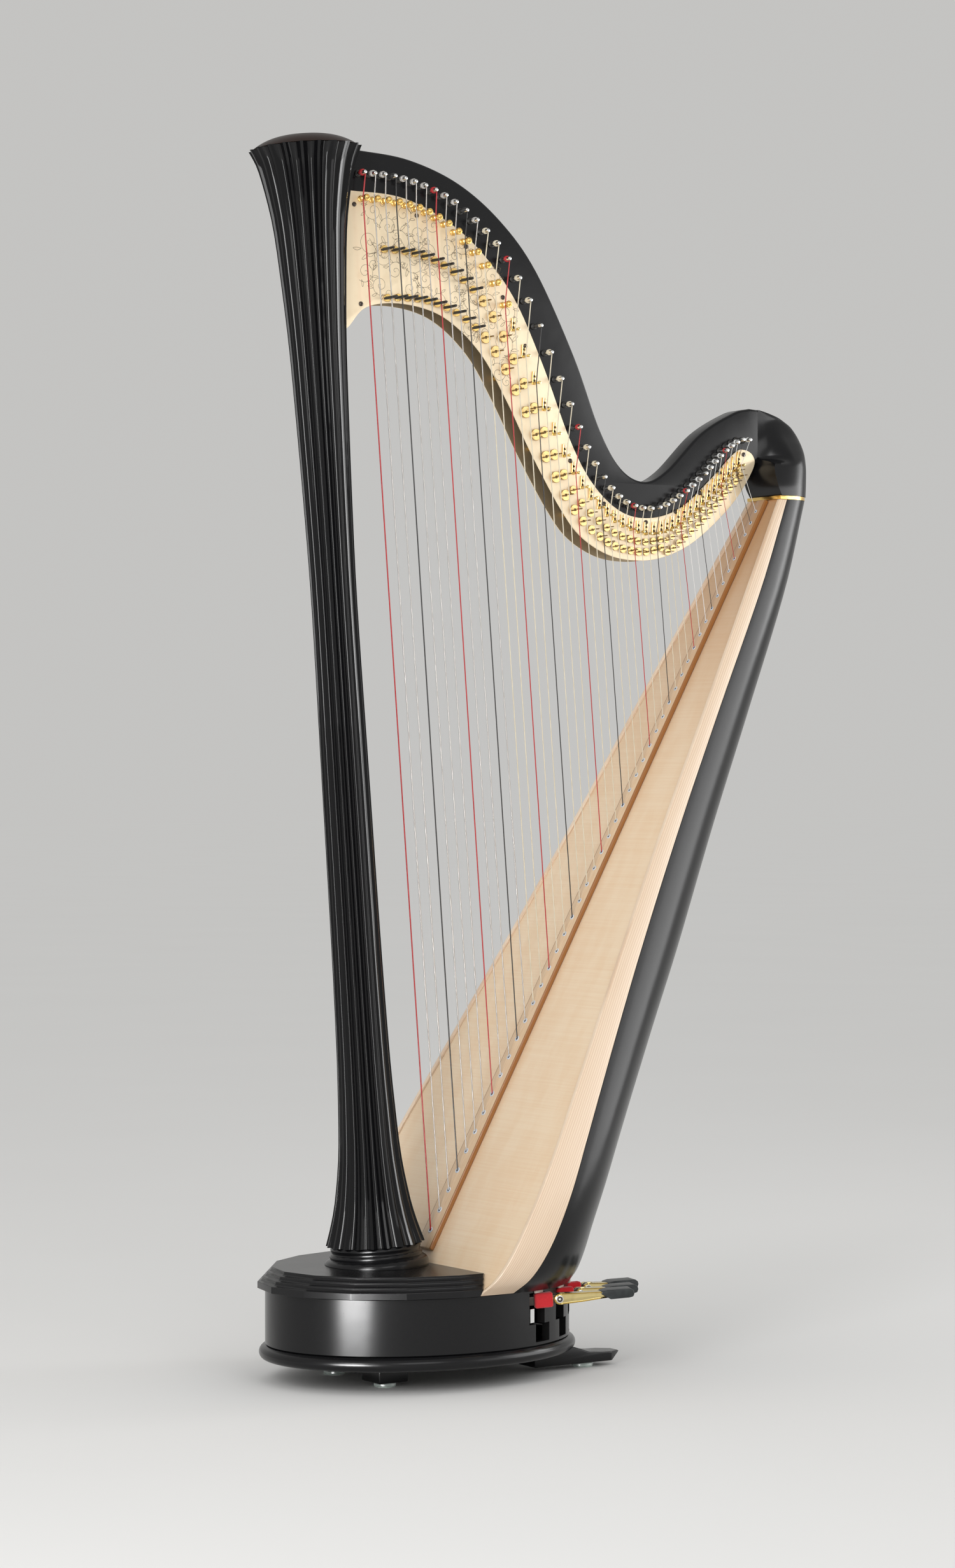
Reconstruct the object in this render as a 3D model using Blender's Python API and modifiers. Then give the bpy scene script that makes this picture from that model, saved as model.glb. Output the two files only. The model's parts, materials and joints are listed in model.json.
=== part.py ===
"""Concert pedal harp, modelled as the pieces that it comes apart into.

Metres, +Z up. X runs from the column (-X) to the player's shoulder block (+X), and -Y is the
player's left, the side that carries the strings and discs. The harp stands on Z = 0, and the
middle of its own box lies over X = 0, Y = 0.
"""

import math

import bmesh
import bpy
from mathutils import Matrix, Vector

# General clearances
GAP = 0.0003
RUNNING_GAP = 0.0004

# Base: an oval drum on a beaded board
BASE_X = -0.2361
DRUM_LENGTH = 0.486
DRUM_WIDTH = 0.374
DRUM_WALL = 0.010
DRUM_TOP = 0.139
OVAL_STEPS = 48
BEAD_RADIUS = 0.0097
BEAD_HEIGHT = 0.0436
BOARD_UNDERSIDE = 0.0340
BASE_BOARD_TOP = 0.0552

# Plinth: an eighteen-sided stepped moulding on the drum
PLINTH_SIDES = 18
PLINTH_OVERHANG = 0.0125
PLINTH_BAND = 0.0100
PLINTH_STEPS = 3
STEP_RISE = 0.0070
STEP_RECESS = 0.0072
PLINTH_TOP = DRUM_TOP + GAP + PLINTH_BAND + PLINTH_STEPS * STEP_RISE

# Feet
GLIDE_RADIUS = 0.0165
GLIDE_THICKNESS = 0.0075
FRONT_FOOT_SIZE = 0.050
FRONT_FOOT_X = 0.104
FRONT_FOOT_Y = 0.072
REAR_FOOT_TIP_X = 0.316
REAR_FOOT_ROOT_X = 0.150
REAR_FOOT_Y = 0.068
REAR_FOOT_WIDTH = 0.046
REAR_FOOT_TIP_HEIGHT = 0.0135

# Column: its axis leans forward and a little to the player's right
COLUMN_FOOT = Vector((BASE_X - 0.0762, 0.0, 0.2020))
CROWN_CENTRE = Vector((BASE_X - 0.1775, 0.034, 1.8350))
FLUTES = 20
FLUTE_DEPTH = 0.12
BORE_RADIUS = 0.0190
CROWN_RADIUS = 0.0795
CROWN_RISE = 0.0200
# Distance up the column, and radius over the flutes
COLUMN_PROFILE = (
    (0.000, 0.0740), (0.030, 0.0647), (0.063, 0.0568), (0.128, 0.0474), (0.204, 0.0427),
    (0.280, 0.0398), (0.432, 0.0374), (0.700, 0.0357), (0.964, 0.0343), (1.116, 0.0367),
    (1.268, 0.0407), (1.344, 0.0433), (1.420, 0.0478), (1.512, 0.0549), (1.560, 0.0625),
    (1.604, 0.0724), (1.618, 0.0778), (1.6313, 0.0843),
)

# Column foot: turned rings between the plinth and the flutes, as (height, radius) in the
# column's own direction, measured down from the flutes
FOOT_RINGS = (
    (-0.0005, 0.0650), (-0.0050, 0.0677), (-0.0105, 0.0665), (-0.0120, 0.0680), (-0.0165, 0.0692),
    (-0.0195, 0.0685), (-0.0205, 0.0730), (-0.0235, 0.0767), (-0.0270, 0.0777), (-0.0600, 0.0777),
)

# Soundboard and body. The board's face is a plane that climbs away from the column.
FACE_FOOT_X = BASE_X + 0.0290
FACE_FOOT_Z = 0.2121
FACE_SLOPE = 0.5554
BODY_TOP = 1.3380
BOARD_THICKNESS = 0.0040
RIM_WIDTH = 0.0080
RIM_RISE = 0.0030
SHELL_WALL = 0.0060
# Height, half width of the face, depth of the pale side band, depth of the shell behind it
BODY_STATIONS = (
    (0.1393, 0.190, 0.057, 0.188), (0.1600, 0.214, 0.058, 0.178), (0.1900, 0.227, 0.058, 0.166),
    (0.2300, 0.231, 0.057, 0.154), (0.2900, 0.229, 0.052, 0.149), (0.3600, 0.219, 0.045, 0.148),
    (0.5000, 0.190, 0.037, 0.146), (0.6360, 0.162, 0.031, 0.143), (0.8200, 0.127, 0.026, 0.125),
    (1.0030, 0.0985, 0.022, 0.107), (1.2000, 0.066, 0.021, 0.082), (1.3380, 0.043, 0.011, 0.0587),
)
SHELL_POINTS = 24
# Sound holes in the back: height, half height and half width
SOUND_HOLES = (
    (0.330, 0.062, 0.052), (0.530, 0.056, 0.046), (0.720, 0.050, 0.040), (0.900, 0.044, 0.033),
    (1.065, 0.038, 0.026),
)

# Shoulder block and the joint band under it
BAND_THICKNESS = 0.0060
BAND_OVERHANG = 0.0006
SHOULDER_SPLIT_X = BASE_X + 0.6510
SHOULDER_SPLIT_ROW = 3
# Height, front, back, left and right side of the block, with X from the base's centre. The neck
# meets it above the row SHOULDER_SPLIT_ROW.
SHOULDER_STATIONS = (
    (1.3443, 0.6545, 0.7205, -0.0430, 0.0430), (1.3600, 0.6480, 0.7240, -0.0420, 0.0460),
    (1.3850, 0.6460, 0.7306, -0.0350, 0.0510), (1.3990, 0.6513, 0.7332, -0.0290, 0.0523),
    (1.4300, 0.6513, 0.7335, -0.0060, 0.0523), (1.4450, 0.6513, 0.7306, 0.0060, 0.0523),
    (1.4600, 0.6513, 0.7230, 0.0140, 0.0523), (1.4700, 0.6513, 0.7081, 0.0163, 0.0523),
    (1.4780, 0.6513, 0.6900, 0.0163, 0.0523), (1.4835, 0.6513, 0.6600, 0.0163, 0.0523),
)

# Neck: a flat laminated beam between two action plates
NECK_LEFT = 0.0163
NECK_RIGHT = 0.0523
PLATE_THICKNESS = 0.0022
SPACER_RADIUS = 0.0040
# Outlines as (X from the base's centre, Z)
NECK_UPPER = (
    (-0.160, 1.8340), (-0.089, 1.8330), (-0.004, 1.8260), (0.083, 1.7980), (0.160, 1.7470),
    (0.2255, 1.6750), (0.296, 1.5490), (0.345, 1.4370), (0.385, 1.3790), (0.429, 1.3600),
    (0.473, 1.3790), (0.540, 1.4410), (0.604, 1.4765), (0.636, 1.4848),
)
NECK_LOWER = (
    (0.616, 1.3850), (0.567, 1.3400), (0.507, 1.2950), (0.437, 1.2710), (0.371, 1.2790),
    (0.306, 1.3240), (0.262, 1.3900), (0.212, 1.4880), (0.150, 1.5900), (0.100, 1.6400),
    (0.035, 1.6750), (-0.021, 1.6900), (-0.160, 1.6900),
)
PLATE_UPPER = (
    (-0.160, 1.7710), (-0.108, 1.7710), (-0.0257, 1.7685), (0.047, 1.7450), (0.1142, 1.7033),
    (0.1795, 1.6337), (0.2335, 1.5350), (0.2859, 1.4186), (0.3287, 1.3526), (0.3812, 1.3117),
    (0.4373, 1.3031), (0.4971, 1.3212), (0.5544, 1.3671), (0.6026, 1.4117), (0.6220, 1.4185),
    (0.6400, 1.4100),
)
PLATE_LOWER = (
    (0.6410, 1.3900), (0.6089, 1.3422), (0.5640, 1.2990), (0.5160, 1.2642), (0.4685, 1.2440),
    (0.4217, 1.2358), (0.3627, 1.2416), (0.3074, 1.2688), (0.2677, 1.3125), (0.2149, 1.3928),
    (0.1688, 1.4726), (0.1201, 1.5432), (0.0556, 1.5922), (-0.0169, 1.6081), (-0.0828, 1.5989),
    (-0.1190, 1.5639), (-0.160, 1.5500),
)
# Cross spacers that hold the two plates apart below the wood
SPACERS = (
    (-0.090, 1.640), (0.010, 1.635), (0.096, 1.598), (0.172, 1.510), (0.236, 1.405),
    (0.300, 1.305), (0.372, 1.262), (0.448, 1.256), (0.524, 1.292), (0.592, 1.352),
)

# Strings, numbered 1 (highest) to 47 (lowest)
STRING_COUNT = 47
FIRST_HOLE = 1.2628
HOLE_PITCH = 0.02132
HOLE_PITCH_GROWTH = 0.0001337
STRIP_WIDTH = 0.040
STRIP_TOP_WIDTH = 0.024
STRIP_HEIGHT = 0.0080
STRIP_BEVEL = 0.0020
STRING_RADIUS_HIGH = 0.00040
STRING_RADIUS_LOW = 0.00105
STRING_SINK = 0.0030
STRIP_LOW_MARGIN = 0.0290
STRIP_HIGH_MARGIN = 0.0220
# Where strings cross their bridge pin and their tuning pin: (string, X from the base's centre, Z)
BRIDGE_KEYS = (
    (1, 0.6097, 1.3925), (4, 0.5795, 1.3670), (7, 0.5506, 1.3387), (10, 0.5144, 1.3122),
    (13, 0.4792, 1.2893), (15, 0.4578, 1.2815), (17, 0.4285, 1.2780), (19, 0.3993, 1.2840),
    (21, 0.3690, 1.2951), (23, 0.3398, 1.3155), (25, 0.3076, 1.3456), (27, 0.2738, 1.3930),
    (29, 0.2367, 1.4625), (31, 0.1983, 1.5420), (33, 0.1603, 1.6180), (35, 0.1228, 1.6750),
    (38, 0.0699, 1.7222), (41, 0.0176, 1.7477), (44, -0.0352, 1.7581), (47, -0.0934, 1.7599),
)
TUNING_KEYS = (
    (1, 0.6202, 1.4332), (2, 0.6073, 1.4331), (4, 0.5858, 1.4223), (6, 0.5643, 1.4056),
    (9, 0.5336, 1.3763), (12, 0.4977, 1.3475), (15, 0.4591, 1.3244), (17, 0.4293, 1.3171),
    (19, 0.3979, 1.3202), (21, 0.3688, 1.3337), (23, 0.3395, 1.3625), (25, 0.3084, 1.4072),
    (27, 0.2768, 1.4722), (29, 0.2390, 1.5498), (31, 0.1999, 1.6271), (33, 0.1610, 1.6875),
    (35, 0.1219, 1.7272), (38, 0.0653, 1.7663), (41, 0.0106, 1.7867), (44, -0.0437, 1.7962),
    (47, -0.0972, 1.7977),
)
TUNING_PIN_RADIUS = 0.0032
TUNING_PIN_LEFT = 0.0235
TUNING_PIN_RIGHT = 0.0160
BRIDGE_PIN_RADIUS = 0.0028
BRIDGE_PIN_LENGTH = 0.0200

# Discs of one octave: note name and string number
OCTAVE = (("B", 20), ("A", 21), ("G", 22), ("F", 23), ("E", 24), ("D", 25), ("C", 26))
DISC_OFFSET = 0.0007
DISC_SHARE = 0.0431
DISC_RADIUS = 0.0068
DISC_THICKNESS = 0.0042
PRONG_RADIUS = 0.0011
PRONG_REACH = 0.0170
PRONG_PITCH = 0.0054
PRONG_TILT = math.radians(14.0)
SPINDLE_RADIUS = 0.0022

# Pedals: name, side of the body, place on the drum's oval, place of the pivot across the rail,
# and length of the folding arm
PEDALS = (
    ("D", -1, math.radians(63.6), -0.054, 0.106), ("C", -1, math.radians(46.2), -0.036, 0.083),
    ("B", -1, math.radians(30.0), -0.018, 0.075), ("E", 1, math.radians(24.0), 0.000, 0.075),
    ("F", 1, math.radians(37.5), 0.018, 0.075), ("G", 1, math.radians(50.5), 0.036, 0.083),
    ("A", 1, math.radians(63.6), 0.054, 0.106),
)
PIVOT_X = BASE_X - 0.144
PIVOT_Z = 0.1015
PIVOT_RADIUS = 0.0026
RAIL_DEPTH = 0.026
RAIL_HALF_WIDTH = 0.066
RAIL_TOP = 0.1110
LEVER_WIDTH = 0.0070
LEVER_HEIGHT = 0.0130
EYE_RADIUS = 0.0080
BOSS_WIDTH = 0.0110
FELT_WIDTH = 0.0150
FELT_HEIGHT = 0.0225
FELT_LENGTH = 0.0280
FELT_START = -0.0100
FOLD_REACH = 0.0095
SLOT_CHANNEL = 0.0260
SLOT_SHIFT = 0.0050
SLOT_TOP = DRUM_TOP - 0.0045
SLOT_BOTTOM = 0.0605
SLOT_STEP = 0.0875
LEVER_END_HEIGHT = 0.1220
ARM_WIDTH = 0.0190
CAP_LENGTH = 0.0440
CAP_WIDTH = 0.0290

# Rods that run up inside the column
ROD_RADIUS = 0.0022
ROD_CIRCLE = 0.0120
ROD_BOTTOM = -0.0640
ROD_TOP = 1.5600
ROD_HOLE_MARGIN = 0.0040

UP = Vector((0.0, 0.0, 1.0))

PARTS = None
CUTTERS = None


def clear_scene():
    """Remove whatever the file opened with, and make the two collections."""
    global PARTS, CUTTERS
    for thing in list(bpy.data.objects):
        bpy.data.objects.remove(thing, do_unlink=True)
    PARTS = bpy.data.collections.new("pedal_harp")
    CUTTERS = bpy.data.collections.new("cutters")
    bpy.context.scene.collection.children.link(PARTS)
    bpy.context.scene.collection.children.link(CUTTERS)


def make_material(name, colour, roughness, metallic=0.0):
    """A plain Principled BSDF finish."""
    material = bpy.data.materials.new(name)
    material.use_nodes = True
    shader = material.node_tree.nodes["Principled BSDF"]
    shader.inputs["Base Color"].default_value = (*colour, 1.0)
    shader.inputs["Roughness"].default_value = roughness
    shader.inputs["Metallic"].default_value = metallic
    return material


def make_materials():
    """The harp's finishes, by name."""
    return {
        "lacquer": make_material("black_lacquer", (0.010, 0.010, 0.011), 0.12),
        "cap_wood": make_material("brown_black_cap", (0.030, 0.018, 0.012), 0.35),
        "spruce": make_material("pale_spruce", (0.72, 0.50, 0.29), 0.35),
        "maple": make_material("side_maple", (0.76, 0.57, 0.39), 0.35),
        "plate": make_material("cream_gold_plate", (0.86, 0.70, 0.42), 0.32, 0.9),
        "brass": make_material("polished_brass", (0.85, 0.60, 0.22), 0.18, 1.0),
        "steel": make_material("steel", (0.60, 0.60, 0.60), 0.25, 1.0),
        "felt": make_material("red_felt", (0.75, 0.01, 0.02), 0.95),
        "rubber": make_material("dark_rubber", (0.03, 0.035, 0.035), 0.45),
        "glide": make_material("pale_glide", (0.55, 0.62, 0.60), 0.30),
        "string": make_material("string_gut", (0.80, 0.76, 0.66), 0.45),
    }


def link(obj, finish=None, smooth_angle=None):
    """Put a finished piece in the harp's collection, with its finish."""
    for holder in list(obj.users_collection):
        holder.objects.unlink(obj)
    PARTS.objects.link(obj)
    if finish is not None:
        obj.data.materials.clear()
        obj.data.materials.append(finish)
    if smooth_angle is not None:
        obj.data.shade_smooth()
        obj.data.set_sharp_from_angle(angle=smooth_angle)
    return obj


def link_cutter(obj):
    """Put a Boolean operand where it shows only as a wire outline."""
    for holder in list(obj.users_collection):
        holder.objects.unlink(obj)
    CUTTERS.objects.link(obj)
    obj.hide_render = True
    obj.display_type = "WIRE"
    return obj


def mesh_object(name, bm):
    """Turn a bmesh into an object that no collection holds yet."""
    bmesh.ops.recalc_face_normals(bm, faces=bm.faces)
    mesh = bpy.data.meshes.new(name)
    bm.to_mesh(mesh)
    bm.free()
    return bpy.data.objects.new(name, mesh)


def boolean(obj, operand, operation):
    """Cut or join with an exact Boolean modifier."""
    modifier = obj.modifiers.new(operation.lower() + "_" + operand.name, "BOOLEAN")
    modifier.operation = operation
    modifier.object = operand
    return obj


def cut(obj, operand):
    return boolean(obj, operand, "DIFFERENCE")


def join(obj, operand):
    return boolean(obj, operand, "UNION")


def box(name, size, matrix=Matrix()):
    """A box of the given size, centred on the matrix."""
    bm = bmesh.new()
    bmesh.ops.create_cube(bm, size=1.0, matrix=Matrix.Diagonal((*size, 1.0)))
    obj = mesh_object(name, bm)
    obj.matrix_world = matrix
    return obj


def box_between(name, low, high):
    """A box from its lowest to its highest corner."""
    low = Vector(low)
    high = Vector(high)
    return box(name, high - low, Matrix.Translation((low + high) / 2.0))


def add_cylinder(bm, start, end, radius, segments):
    """Add a capped cylinder between two points."""
    along = end - start
    turn = UP.rotation_difference(along).to_matrix().to_4x4()
    matrix = Matrix.Translation((start + end) / 2.0) @ turn
    bmesh.ops.create_cone(
        bm, cap_ends=True, segments=segments, radius1=radius, radius2=radius,
        depth=along.length, matrix=matrix)


def cylinders(name, pieces, segments):
    """One mesh of separate cylinders, each given as (start, end, radius)."""
    bm = bmesh.new()
    for start, end, radius in pieces:
        add_cylinder(bm, Vector(start), Vector(end), radius, segments)
    return mesh_object(name, bm)


def turned(name, profile, steps, matrix=Matrix(), phase=0.0):
    """Turn a profile of (radius, height) points, listed from top to bottom, about local Z."""
    mesh = bpy.data.meshes.new(name)
    edges = [(i, i + 1) for i in range(len(profile) - 1)]
    points = [(radius * math.cos(phase), radius * math.sin(phase), height) for radius, height in profile]
    mesh.from_pydata(points, edges, [])
    obj = bpy.data.objects.new(name, mesh)
    screw = obj.modifiers.new("turning", "SCREW")
    screw.steps = steps
    screw.render_steps = steps
    screw.use_smooth_shade = False
    screw.use_merge_vertices = True
    screw.merge_threshold = 0.00001
    obj.matrix_world = matrix
    return obj


def smooth_through(points, steps):
    """Points along a Catmull-Rom curve through the given 2D points."""
    padded = [2 * Vector(points[0]) - Vector(points[1])]
    padded += [Vector(point) for point in points]
    padded.append(2 * Vector(points[-1]) - Vector(points[-2]))
    result = []
    for i in range(1, len(padded) - 2):
        before, start, end, after = padded[i - 1:i + 3]
        for k in range(steps):
            t = k / steps
            result.append(0.5 * (
                2 * start + (end - before) * t
                + (2 * before - 5 * start + 4 * end - after) * t ** 2
                + (3 * start - before - 3 * end + after) * t ** 3))
    result.append(Vector(points[-1]))
    return result


def read_curve(keys, place):
    """Smoothly read a row of (place, value, value...) keys at one place."""
    last = len(keys) - 1
    i = 0
    while i < last - 1 and place > keys[i + 1][0]:
        i += 1
    start = keys[i]
    end = keys[i + 1]
    before = keys[max(i - 1, 0)]
    after = keys[min(i + 2, last)]
    span = end[0] - start[0]
    t = (place - start[0]) / span
    values = []
    for j in range(1, len(start)):
        slope_in = (end[j] - before[j]) / (end[0] - before[0]) * span
        slope_out = (after[j] - start[j]) / (after[0] - start[0]) * span
        values.append(
            (2 * t ** 3 - 3 * t ** 2 + 1) * start[j] + (t ** 3 - 2 * t ** 2 + t) * slope_in
            + (3 * t ** 2 - 2 * t ** 3) * end[j] + (t ** 3 - t ** 2) * slope_out)
    return values


def flat_piece(name, outline, left, right):
    """Extrude an outline of (X, Z) points across the harp, from Y = left to Y = right."""
    curve = bpy.data.curves.new(name, "CURVE")
    curve.dimensions = "2D"
    curve.fill_mode = "BOTH"
    curve.extrude = (right - left) / 2.0
    spline = curve.splines.new("POLY")
    spline.points.add(len(outline) - 1)
    for point, (x, z) in zip(spline.points, outline):
        point.co = (x, z, 0.0, 1.0)
    spline.use_cyclic_u = True
    matrix = Matrix.Translation((0.0, (left + right) / 2.0, 0.0)) @ Matrix.Rotation(math.pi / 2, 4, "X")
    return mesh_from_curve(name, curve, matrix)


def mesh_from_curve(name, curve, matrix):
    """Turn a curve into a closed mesh object with the same place."""
    guide = bpy.data.objects.new(name + "_curve", curve)
    bpy.context.scene.collection.objects.link(guide)
    guide.matrix_world = matrix
    bpy.context.view_layer.update()
    evaluated = guide.evaluated_get(bpy.context.evaluated_depsgraph_get())
    mesh = bpy.data.meshes.new_from_object(evaluated)
    bm = bmesh.new()
    bm.from_mesh(mesh)
    bmesh.ops.remove_doubles(bm, verts=bm.verts, dist=0.00001)
    bpy.data.objects.remove(guide, do_unlink=True)
    obj = mesh_object(name, bm)
    obj.matrix_world = matrix
    return obj


def loft(name, rings):
    """Skin a row of closed rings that have the same number of points, with flat ends."""
    bm = bmesh.new()
    rows = [[bm.verts.new(point) for point in ring] for ring in rings]
    count = len(rows[0])
    for lower, upper in zip(rows, rows[1:]):
        for i in range(count):
            j = (i + 1) % count
            bm.faces.new((lower[i], lower[j], upper[j], upper[i]))
    bm.faces.new(list(reversed(rows[0])))
    bm.faces.new(rows[-1])
    return mesh_object(name, bm)


def oval_point(angle, extra=0.0, height=0.0):
    """A point on the drum's oval. Angle 0 is the back, and positive angles go to the right."""
    x = BASE_X + (DRUM_LENGTH / 2 + extra) * math.cos(angle)
    y = (DRUM_WIDTH / 2 + extra) * math.sin(angle)
    return Vector((x, y, height))


def oval_matrix():
    """Stretches a turned shape of the drum's half length into the drum's oval."""
    stretch = Matrix.Diagonal((1.0, DRUM_WIDTH / DRUM_LENGTH, 1.0, 1.0))
    return Matrix.Translation((BASE_X, 0.0, 0.0)) @ stretch


def column_matrix():
    """The column's own frame: origin at the foot of the flutes, Z up the leaning axis."""
    turn = UP.rotation_difference(CROWN_CENTRE - COLUMN_FOOT).to_matrix().to_4x4()
    return Matrix.Translation(COLUMN_FOOT) @ turn


def column_length():
    return (CROWN_CENTRE - COLUMN_FOOT).length


def face_x(height):
    """X of the soundboard's face at a height."""
    return FACE_FOOT_X + (height - FACE_FOOT_Z) * FACE_SLOPE


def face_direction():
    """Unit vector up the soundboard's face."""
    return Vector((FACE_SLOPE, 0.0, 1.0)).normalized()


def face_normal():
    """Unit vector out of the soundboard, towards the strings."""
    along = face_direction()
    return Vector((-along.z, 0.0, along.x))


def face_matrix():
    """The face's frame at its foot: X along -Y of the harp, Y up the face, Z out of it."""
    along = face_direction()
    out = face_normal()
    across = along.cross(out)
    matrix = Matrix((across, along, out)).transposed().to_4x4()
    matrix.translation = Vector((FACE_FOOT_X, 0.0, FACE_FOOT_Z))
    return matrix


def hole_distance(number):
    """How far up the face from its foot a string leaves the strip."""
    step = number - 1
    return FIRST_HOLE - HOLE_PITCH * step - HOLE_PITCH_GROWTH * step ** 2


def string_hole(number):
    """Where a string leaves the raised strip along the soundboard."""
    return face_matrix() @ Vector((0.0, hole_distance(number), STRIP_HEIGHT))


def bridge_point(number):
    x, z = read_curve(BRIDGE_KEYS, number)
    return Vector((BASE_X + x, 0.0, z))


def tuning_point(number):
    x, z = read_curve(TUNING_KEYS, number)
    return Vector((BASE_X + x, 0.0, z))


def string_top(number):
    """Where a string bears on the column side of its bridge pin."""
    clear = BRIDGE_PIN_RADIUS + string_radius(number) + GAP
    return bridge_point(number) - Vector((clear, 0.0, 0.0))


def string_radius(number):
    share = (number - 1) / (STRING_COUNT - 1)
    return STRING_RADIUS_HIGH + (STRING_RADIUS_LOW - STRING_RADIUS_HIGH) * share


def build_base(finish):
    """The drum, its beaded bottom board and the rail that carries the pedal pivots."""
    half = DRUM_LENGTH / 2
    drum_bottom = BASE_BOARD_TOP + GAP
    wall = half - DRUM_WALL
    profile = [
        (0.0, DRUM_TOP), (half, DRUM_TOP), (half, drum_bottom), (wall, drum_bottom),
        (wall, DRUM_TOP - DRUM_WALL), (0.0, DRUM_TOP - DRUM_WALL)]
    drum = turned("base_drum", profile, OVAL_STEPS, oval_matrix())
    for pedal in PEDALS:
        for cutter in slot_cutters(pedal):
            cut(drum, link_cutter(cutter))
    hole = cylinders("deck_hole_cutter", [rod_hole_line()], 16)
    cut(drum, link_cutter(hole))
    link(drum, finish["lacquer"], math.radians(30))

    outline = [(0.0, BASE_BOARD_TOP), (half, BASE_BOARD_TOP)]
    for i in range(7):
        angle = math.radians(75 - i * 25)
        outline.append((half + BEAD_RADIUS * math.cos(angle), BEAD_HEIGHT + BEAD_RADIUS * math.sin(angle)))
    outline += [(half, BOARD_UNDERSIDE), (0.0, BOARD_UNDERSIDE)]
    board = turned("base_board", outline, OVAL_STEPS, oval_matrix())
    link(board, finish["lacquer"], math.radians(30))

    rail = box_between(
        "pedal_pivot_rail",
        (PIVOT_X - RAIL_DEPTH / 2, -RAIL_HALF_WIDTH, BASE_BOARD_TOP + GAP),
        (PIVOT_X + RAIL_DEPTH / 2, RAIL_HALF_WIDTH, RAIL_TOP))
    pins = []
    for pedal in PEDALS:
        frame = pedal_frame(pedal)
        slot = box(
            "rail_slot_cutter_" + pedal[0],
            (0.060, BOSS_WIDTH + 2 * RUNNING_GAP, 0.040),
            frame @ Matrix.Translation((0.0, 0.0, 0.040 / 2 - EYE_RADIUS - 0.0030)))
        cut(rail, link_cutter(slot))
        reach = BOSS_WIDTH / 2 + RUNNING_GAP + 0.0005
        pins.append((frame @ Vector((0, -reach, 0)), frame @ Vector((0, reach, 0)), PIVOT_RADIUS))
    join(rail, link_cutter(cylinders("rail_pins", pins, 12)))
    link(rail, finish["steel"])


def slot_cutters(pedal):
    """The two stepped channels that one pedal's slot is made of."""
    name, side = pedal[:2]
    frame = pedal_frame(pedal, level=True)
    reach = pedal_reach(pedal)
    middle = (SLOT_TOP + SLOT_STEP) / 2 - PIVOT_Z
    upper = box(
        "slot_upper_cutter_" + name, (0.080, SLOT_CHANNEL, SLOT_TOP - SLOT_STEP),
        frame @ Matrix.Translation((reach, SLOT_SHIFT * side, middle)))
    middle = (SLOT_STEP + 0.0001 + SLOT_BOTTOM) / 2 - PIVOT_Z
    lower = box(
        "slot_lower_cutter_" + name, (0.080, SLOT_CHANNEL, SLOT_STEP + 0.0001 - SLOT_BOTTOM),
        frame @ Matrix.Translation((reach, -SLOT_SHIFT * side, middle)))
    return upper, lower


def pedal_slot_point(pedal):
    """Where a pedal's lever passes the drum's outer face, at rest."""
    return oval_point(pedal[1] * pedal[2], 0.0, LEVER_END_HEIGHT)


def pedal_pivot(pedal):
    return Vector((PIVOT_X, pedal[3], PIVOT_Z))


def pedal_reach(pedal):
    """Level distance from the pivot to the drum's outer face."""
    return (pedal_slot_point(pedal) - pedal_pivot(pedal)).to_2d().length


def fold_distance(pedal):
    """Distance along the lever from its pivot to the hinge of its folding arm."""
    reach = (pedal_slot_point(pedal) - pedal_pivot(pedal)).length
    return reach + FELT_START + FELT_LENGTH + FOLD_REACH


def pedal_frame(pedal, level=False):
    """A pedal's frame: origin on its pivot, X out along the lever, Y along the pivot's axis."""
    along = pedal_slot_point(pedal) - pedal_pivot(pedal)
    if level:
        along.z = 0.0
    along.normalize()
    axis = UP.cross(along).normalized()
    matrix = Matrix((along, axis, along.cross(axis))).transposed().to_4x4()
    matrix.translation = pedal_pivot(pedal)
    return matrix


def build_plinth(finish):
    """The stepped moulding under the column, cut off along the soundboard."""
    edge = DRUM_LENGTH / 2 + PLINTH_OVERHANG
    bottom = DRUM_TOP + GAP
    profile = [(edge, bottom + PLINTH_BAND), (edge, bottom), (0.0, bottom)]
    steps = []
    for i in range(PLINTH_STEPS):
        radius = edge - i * STEP_RECESS
        height = bottom + PLINTH_BAND + i * STEP_RISE
        steps.append((radius - STEP_RECESS * 0.75, height + STEP_RISE * 0.25))
        steps.append((radius - STEP_RECESS, height + STEP_RISE))
    profile = [(0.0, PLINTH_TOP)] + list(reversed(steps)) + profile
    plinth = turned("plinth", profile, PLINTH_SIDES, oval_matrix(), math.pi / PLINTH_SIDES)
    clear = face_matrix() @ Matrix.Translation((0.0, 0.0, -0.25 + RIM_RISE + GAP))
    cut(plinth, link_cutter(box("plinth_face_cutter", (0.9, 0.9, 0.5), clear)))
    cut(plinth, link_cutter(loft("plinth_strip_cutter", strip_rings(GAP))))
    hole = cylinders("plinth_hole_cutter", [rod_hole_line()], 16)
    cut(plinth, link_cutter(hole))
    link(plinth, finish["lacquer"])


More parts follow.
